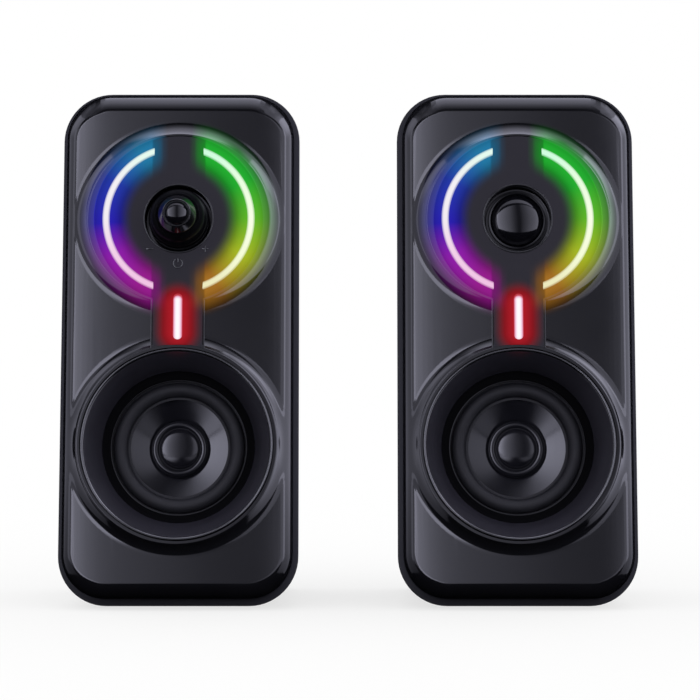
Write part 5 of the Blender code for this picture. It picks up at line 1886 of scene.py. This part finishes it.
@dataclass
class InnerParts:
    """The solids that stay as they are inside the cabinets, dressed in their own materials."""

    finishes: dict[str, Finish] = field(default_factory=lambda: {
        "led_board": CIRCUIT_BOARD, "amp_board": CIRCUIT_BOARD, "basket": ZINC_STEEL, "top_plate": ZINC_STEEL,
        "magnet": FERRITE, "yoke": ZINC_STEEL, "voice_coil": WOUND_COPPER, "knob_shaft": ZINC_STEEL,
        "switch_plunger": ZINC_STEEL, "volume_encoder": ZINC_STEEL, "encoder_nut": ZINC_STEEL})

    def build(self) -> None:
        """Gives each solid its material."""
        for side in BOTH:
            for noun, finish in self.finishes.items():
                node = frame["nodes"].get(f"{side.value}_{noun}")
                if node is not None:
                    node.data.materials.clear()
                    node.data.materials.append(finish.material(side))
                    log.info("dressed %s", node.name)


class Group(Enum):
    """The groups of pieces that have lamps of their own."""

    CASE = "cabinet"
    SHELL = "shell"
    UNIT = "drive unit"
    BOSS = "boss"


DRIVE = ("cone_flank", "dust_dome")
BOSSES = ("blank_dome", "cap_dome")
# The pieces that each group is told by, and whether it holds those or all the others.
MEMBERS = {
    Group.CASE: (DRIVE + BOSSES, False),
    Group.SHELL: (DRIVE + BOSSES + ("bell_knob",), False),
    Group.UNIT: (DRIVE, True),
    Group.BOSS: (BOSSES, True),
}


@dataclass(frozen=True)
class Softbox:
    """A lamp in front of a speaker, by the angles in degrees that the face's middle sees it at.

    Attributes:
        name: The lamp's name.
        group: The pieces that it lights.
        azimuths: Its left and right edges, to the right of the front.
        heights: Its lower and upper edges, above the horizon.
        stops: Azimuths, or heights, each with the brightness there.
        along: X for brightness that runs from left to right, Y for brightness that runs up.
        fade: The share of the other axis that each end fades over.
    """

    name: str
    group: Group
    azimuths: tuple[float, float]
    heights: tuple[float, float]
    stops: Levelled
    along: str = "X"
    fade: float = 0.0


TALL = (-12.0, 34.0)
CASE_LAMPS = (
    # Its steps are the bright left flanks and the dark middles of the gloss faces.
    Softbox("front softbox", Group.CASE, (-24.0, 16.0), TALL, (
        (-24.0, 4.6), (-13.8, 4.6), (-13.3, 3.6), (-12.8, 2.95), (-12.1, 2.25), (-11.4, 1.75), (-10.7, 1.55),
        (-10.0, 1.3), (-8.3, 1.03), (-6.7, 0.92), (4.0, 0.42), (11.0, 0.26), (12.2, 0.42), (13.2, 1.05),
        (16.0, 1.3))),
    Softbox("left panel", Group.CASE, (-60.0, -24.0), TALL, ((-60.0, 0.9), (-24.0, 0.9))),
    Softbox("right softbox", Group.CASE, (16.0, 60.0), TALL, ((16.0, 1.3), (60.0, 2.0))),
    Softbox("overhead softbox", Group.CASE, (-33.0, 27.0), (42.0, 110.0),
            ((42.0, 0.15), (49.0, 0.5), (58.0, 1.1), (70.0, 2.1), (110.0, 3.4)), "Y", 0.3),
    Softbox("left corner panel", Group.CASE, (-110.0, -60.0), (20.0, 66.0),
            ((-110.0, 0.0), (-88.0, 1.0), (-60.0, 0.9)), fade=0.45),
    Softbox("right corner panel", Group.CASE, (52.0, 110.0), (20.0, 70.0),
            ((52.0, 1.8), (88.0, 2.6), (110.0, 0.9)), fade=0.45),
)
INNER_LAMPS = (
    Softbox("front softbox", Group.UNIT, (-60.0, 60.0), (-16.0, 55.0), (
        (-60.0, 5.2), (-51.0, 5.0), (-37.0, 3.7), (-24.0, 1.9), (-11.0, 1.0), (0.0, 0.4), (14.0, 0.1),
        (27.0, 0.22), (38.0, 1.2), (55.0, 1.4), (60.0, 1.5))),
    Softbox("front softbox", Group.BOSS, (-52.0, 66.0), (-20.0, 52.0), (
        (-52.0, 4.1), (-40.0, 2.9), (-26.0, 2.0), (-13.0, 1.15), (-4.0, 0.42), (2.0, 0.12), (6.0, 0.15),
        (10.0, 0.45), (25.0, 1.3), (40.0, 2.0), (55.0, 2.8), (66.0, 3.4))),
    Softbox("overhead softbox", Group.BOSS, (-36.0, 34.0), (58.0, 76.0),
            ((-36.0, 0.8), (0.0, 1.3), (34.0, 2.4))),
    Softbox("left panel", Group.BOSS, (-69.0, -54.0), (-14.0, 48.0), ((-69.0, 0.7), (-54.0, 0.95))),
)

# Each dark card's name, the axis it faces along, and the end of that axis: 0 is the low one.
CARDS = (
    ("front card", 1, 0), ("back card", 1, 1), ("top card", 2, 1), ("floor card", 2, 0), ("left card", 0, 0),
    ("right card", 0, 1),
)


@dataclass
class Studio:
    """The camera, the lamps, the white surroundings and the dark cards that keep the gloss black.

    Attributes:
        place: Where the fronts stand.
        eye: The camera's place.
        lens: The camera's focal length in millimetres.
        reach: How far the softboxes hang from the face.
        aim_level: The level of the face that they point at.
        toe_out: How far a speaker's softboxes are turned outwards, in degrees.
        tint: The lamps' colour.
        strip_size: The width and height of a strip.
        strips: The name, the hand and the brightness of each strip: hand 1 is on the right.
        desk_size: The width and depth of the desk panel.
        desk_ahead: How far in front of the face it lies.
        desk_stops: Shares of its width, each with the brightness there.
        floor_size: The size of the floor.
        bounce: How much light the floor sends back to the speakers.
        floor_glow: The share of the floor's white that no shadow reaches.
        room: The lowest and the highest corner of the box of dark cards.
    """

    place: Place
    eye: tuple[float, float, float] = (0.00072, -1.0232, 0.09947)
    lens: float = 131.55
    reach: float = 0.9
    aim_level: float = 10.0 * MM
    toe_out: float = 3.8
    tint: tuple[float, float, float] = (0.94, 0.94, 1.16)
    strip_size: tuple[float, float] = (0.04, 0.24)
    strips: tuple[tuple[str, int, float], ...] = (("left strip", -1, 1.0), ("right strip", 1, 2.2))
    desk_size: tuple[float, float] = (1.0, 0.56)
    desk_ahead: float = 0.43
    desk_stops: Levelled = ((0.0, 3.0), (0.36, 2.6), (0.47, 0.0), (0.54, 0.0), (0.62, 0.7), (1.0, 0.8))
    floor_size: float = 40.0
    bounce: float = 0.2
    floor_glow: float = 0.72
    room: tuple[tuple[float, float, float], ...] = ((-2.0, -2.4, 0.2 * MM), (2.4, 3.0, 1.8))

    def camera(self) -> None:
        """Sets up the camera, level, as the photograph was taken."""
        data = bpy.data.cameras.new("camera")
        data.lens = self.lens
        data.sensor_width = 36.0
        camera = bpy.data.objects.new("camera", data)
        camera.location = self.eye
        camera.rotation_euler = (math.pi / 2, 0.0, 0.0)
        bpy.context.scene.collection.objects.link(camera)
        bpy.context.scene.camera = camera
        bpy.context.scene.view_settings.view_transform = "Standard"

    def world(self) -> None:
        """Makes the surroundings plain white."""
        world = bpy.data.worlds.new("white surroundings")
        world.use_nodes = True
        background = world.node_tree.nodes["Background"]
        background.inputs["Color"].default_value = WHITE
        background.inputs["Strength"].default_value = 1.0
        bpy.context.scene.world = world

    def floor(self) -> None:
        """Lays a wide white floor that keeps a soft shadow."""
        bpy.ops.object.select_all(action="DESELECT")
        bpy.ops.mesh.primitive_plane_add(size=self.floor_size)
        floor = bpy.context.object
        floor.name = "floor"
        paint = bpy.data.materials.new("white paper sweep")
        paint.use_nodes = True
        tree = paint.node_tree
        shader = tree.nodes["Principled BSDF"]
        shader.inputs["Roughness"].default_value = 1.0
        shader.inputs["Specular IOR Level"].default_value = 0.0
        path = add_node(tree, "ShaderNodeLightPath", {}).outputs
        mirror = maths(tree, "MAXIMUM", path["Is Glossy Ray"], path["Is Transmission Ray"])
        shown = maths(tree, "MAXIMUM", path["Is Camera Ray"], mirror)
        grey = (self.bounce, self.bounce, self.bounce, 1.0)
        tree.links.new(mixed(tree, shown, grey, WHITE), shader.inputs["Base Color"])
        white = add_node(tree, "ShaderNodeEmission", {"Color": WHITE, "Strength": 1.0})
        sheet = add_node(tree, "ShaderNodeMixShader", {
            0: maths(tree, "MULTIPLY", shown, self.floor_glow), 1: shader.outputs[0], 2: white.outputs[0]})
        tree.links.new(sheet.outputs[0], tree.nodes["Material Output"].inputs["Surface"])
        floor.data.materials.append(paint)

    def receivers(self, side: Side, group: Group) -> Collection:
        """Gathers pieces of a speaker, so that its own lamps light them alone.

        Args:
            side: The speaker.
            group: Which of its pieces.

        Returns:
            A collection of the pieces.
        """
        nouns, kept = MEMBERS[group]
        gathered = bpy.data.collections.new(f"{side.value} {group.value}")
        for piece in bpy.context.scene.objects:
            if piece.type == "MESH" and piece.name.startswith(side.value):
                if piece.name.endswith(nouns) is kept:
                    gathered.objects.link(piece)
        return gathered

    def panel(self, name: str, lit: Collection, size: tuple[float, float], along: str,
              stops: Sequence[tuple[float, float]], fade: float = 0.0) -> Piece:
        """Makes a lit panel that lights a few pieces alone.

        Args:
            name: The panel's name.
            lit: The pieces that it lights.
            size: Its width and height.
            along: The axis, X or Y, that its brightness runs along.
            stops: Shares of that axis, each with the panel's brightness there.
            fade: The share of the other axis that each end fades over.

        Returns:
            The lamp, not yet in its place.
        """
        data = bpy.data.lights.new(f"{lit.name} {name}", "AREA")
        data.shape = "RECTANGLE"
        data.size, data.size_y = size
        data.energy = math.pi * data.size * data.size_y
        data.color = self.tint
        data.use_nodes = True
        tree = data.node_tree
        spot = add_node(tree, "ShaderNodeNewGeometry", {})
        axes = add_node(tree, "ShaderNodeSeparateXYZ", {0: spot.outputs["Parametric"]}).outputs
        ramp = add_node(tree, "ShaderNodeValToRGB", {0: axes[along]})
        elements = ramp.color_ramp.elements
        peak = max(level for _, level in stops)
        while len(elements) < len(stops):
            elements.new(0.5)
        for element, (share, level) in zip(elements, stops):
            element.position = share
            element.color = (level / peak, level / peak, level / peak, 1.0)
        strength = maths(tree, "MULTIPLY", ramp.outputs[0], peak)
        if fade > 0.0:
            inward = maths(tree, "PINGPONG", axes["Y" if along == "X" else "X"], 0.5)
            ends = ranged(tree, inward, (0.0, fade), curve="SMOOTHSTEP")
            strength = maths(tree, "MULTIPLY", strength, ends)
        tree.links.new(strength, tree.nodes["Emission"].inputs["Strength"])
        lamp = bpy.data.objects.new(data.name, data)
        lamp.visible_camera = False
        bpy.context.scene.collection.objects.link(lamp)
        lamp.light_linking.receiver_collection = lit
        return lamp

    def softbox(self, box: Softbox, side: Side, lit: Collection) -> None:
        """Hangs a softbox in front of a speaker.

        Args:
            box: The softbox.
            side: The speaker.
            lit: The pieces that it lights.
        """
        half, tall = [math.radians(high - low) / 2 for low, high in (box.azimuths, box.heights)]
        out = self.toe_out if side is Side.PASSIVE else -self.toe_out
        turn = math.radians(sum(box.azimuths) / 2 + out)
        lift = math.radians(sum(box.heights) / 2)
        middle, span = (sum(box.azimuths) / 2, half) if box.along == "X" else (sum(box.heights) / 2, tall)
        shares = [((math.tan(math.radians(angle - middle)) / math.tan(span) + 1) / 2, level)
                  for angle, level in box.stops]
        size = (2 * self.reach * math.tan(half), 2 * self.reach * math.tan(tall))
        lamp = self.panel(box.name, lit, size, box.along, shares, box.fade)
        away = Vector((math.sin(turn) * math.cos(lift), -math.cos(turn) * math.cos(lift), math.sin(lift)))
        lamp.location = self.place.spot(side, 0.0, self.aim_level) + away * self.reach
        lamp.rotation_euler = (-away).to_track_quat("-Z", "Y").to_euler()

    def strip(self, name: str, side: Side, lit: Collection, hand: int, level: float) -> None:
        """Hangs a tall panel close beside a speaker, which lights the round of its front edge.

        Args:
            name: The panel's name.
            side: The speaker.
            lit: The pieces that it lights.
            hand: 1 for its right side, -1 for its left.
            level: The panel's brightness.
        """
        lamp = self.panel(name, lit, self.strip_size, "Y", [(0.0, 0.0), (0.3, level)])
        aside = Vector((hand * self.place.spacing / 2, 0.0, 0.0))
        up = (self.place.spot(side, 1.0) - self.place.spot(side, 0.0)).normalized()
        outward = aside.normalized()
        lamp.location = self.place.spot(side, 0.0, self.strip_size[0] / 2) + aside
        lamp.rotation_euler = Matrix((up.cross(outward), up, outward)).transposed().to_euler()

    def desk_panel(self, side: Side, lit: Collection) -> None:
        """Lays a panel on the desk in front of a speaker, facing up.

        Args:
            side: The speaker.
            lit: The pieces that it lights.
        """
        lamp = self.panel("desk panel", lit, self.desk_size, "X", self.desk_stops)
        lamp.location = self.place.spot(side, 0.0) - Vector((0.0, self.desk_ahead, 0.0))
        lamp.location.z = 1.0 * MM
        lamp.rotation_euler = (math.pi, 0.0, 0.0)

    def card(self, name: str, corners: Sequence[Vector], cloth: Material) -> None:
        """Hangs a dark card that only reflections see.

        Args:
            name: The card's name.
            corners: Its four corners in order.
            cloth: Its material.
        """
        mesh = bpy.data.meshes.new(name)
        mesh.from_pydata(corners, [], [(0, 1, 2, 3)])
        card = bpy.data.objects.new(name, mesh)
        bpy.context.scene.collection.objects.link(card)
        mesh.materials.append(cloth)
        for rays in ("camera", "diffuse", "transmission", "shadow"):
            setattr(card, f"visible_{rays}", False)

    def cards(self) -> None:
        """Hangs dark cards as the six sides of a box round the stage."""
        # Black velvet: gives nothing back, so that the gloss shows the lamps alone.
        cloth = bpy.data.materials.new("black velvet")
        cloth.use_nodes = True
        shader = cloth.node_tree.nodes["Principled BSDF"]
        shader.inputs["Base Color"].default_value = (0.0, 0.0, 0.0, 1.0)
        shader.inputs["Specular IOR Level"].default_value = 0.0
        for name, axis, end in CARDS:
            first, second = [other for other in range(3) if other != axis]
            corners = []
            for one, two in ((0, 0), (1, 0), (1, 1), (0, 1)):
                corner = Vector(self.room[end])
                corner[first] = self.room[one][first]
                corner[second] = self.room[two][second]
                corners.append(corner)
            self.card(name, corners, cloth)

    def build(self) -> None:
        """Sets the stage once every piece is fitted."""
        self.camera()
        self.world()
        self.floor()
        for side in BOTH:
            lit = {group: self.receivers(side, group) for group in Group}
            for box in CASE_LAMPS:
                self.softbox(box, side, lit[box.group])
            for name, hand, level in self.strips:
                self.strip(name, side, lit[Group.SHELL], hand, level)
            for box in INNER_LAMPS:
                self.softbox(box, side, lit[box.group])
            self.desk_panel(side, lit[Group.UNIT])
        self.cards()


def main() -> None:
    """Builds the speakers and the studio, in order."""
    logging.basicConfig(level=logging.INFO, format="%(message)s")
    levels = Levels()
    place = Place.from_frame(levels.disc, levels.top)
    glow = Glow(place, levels.disc)
    guides = LightGuides(levels)
    fitter = Fitter(place)
    FrontMoulding(levels, guides).build(fitter, glow)
    RearMoulding().build(fitter)
    LightPanel(levels, guides).build(fitter, glow)
    guides.build(fitter, glow)
    Control(levels).build(fitter)
    Woofer(levels).build(fitter, glow)
    InnerParts().build()
    Studio(place).build()


if __name__ == "__main__":
    main()
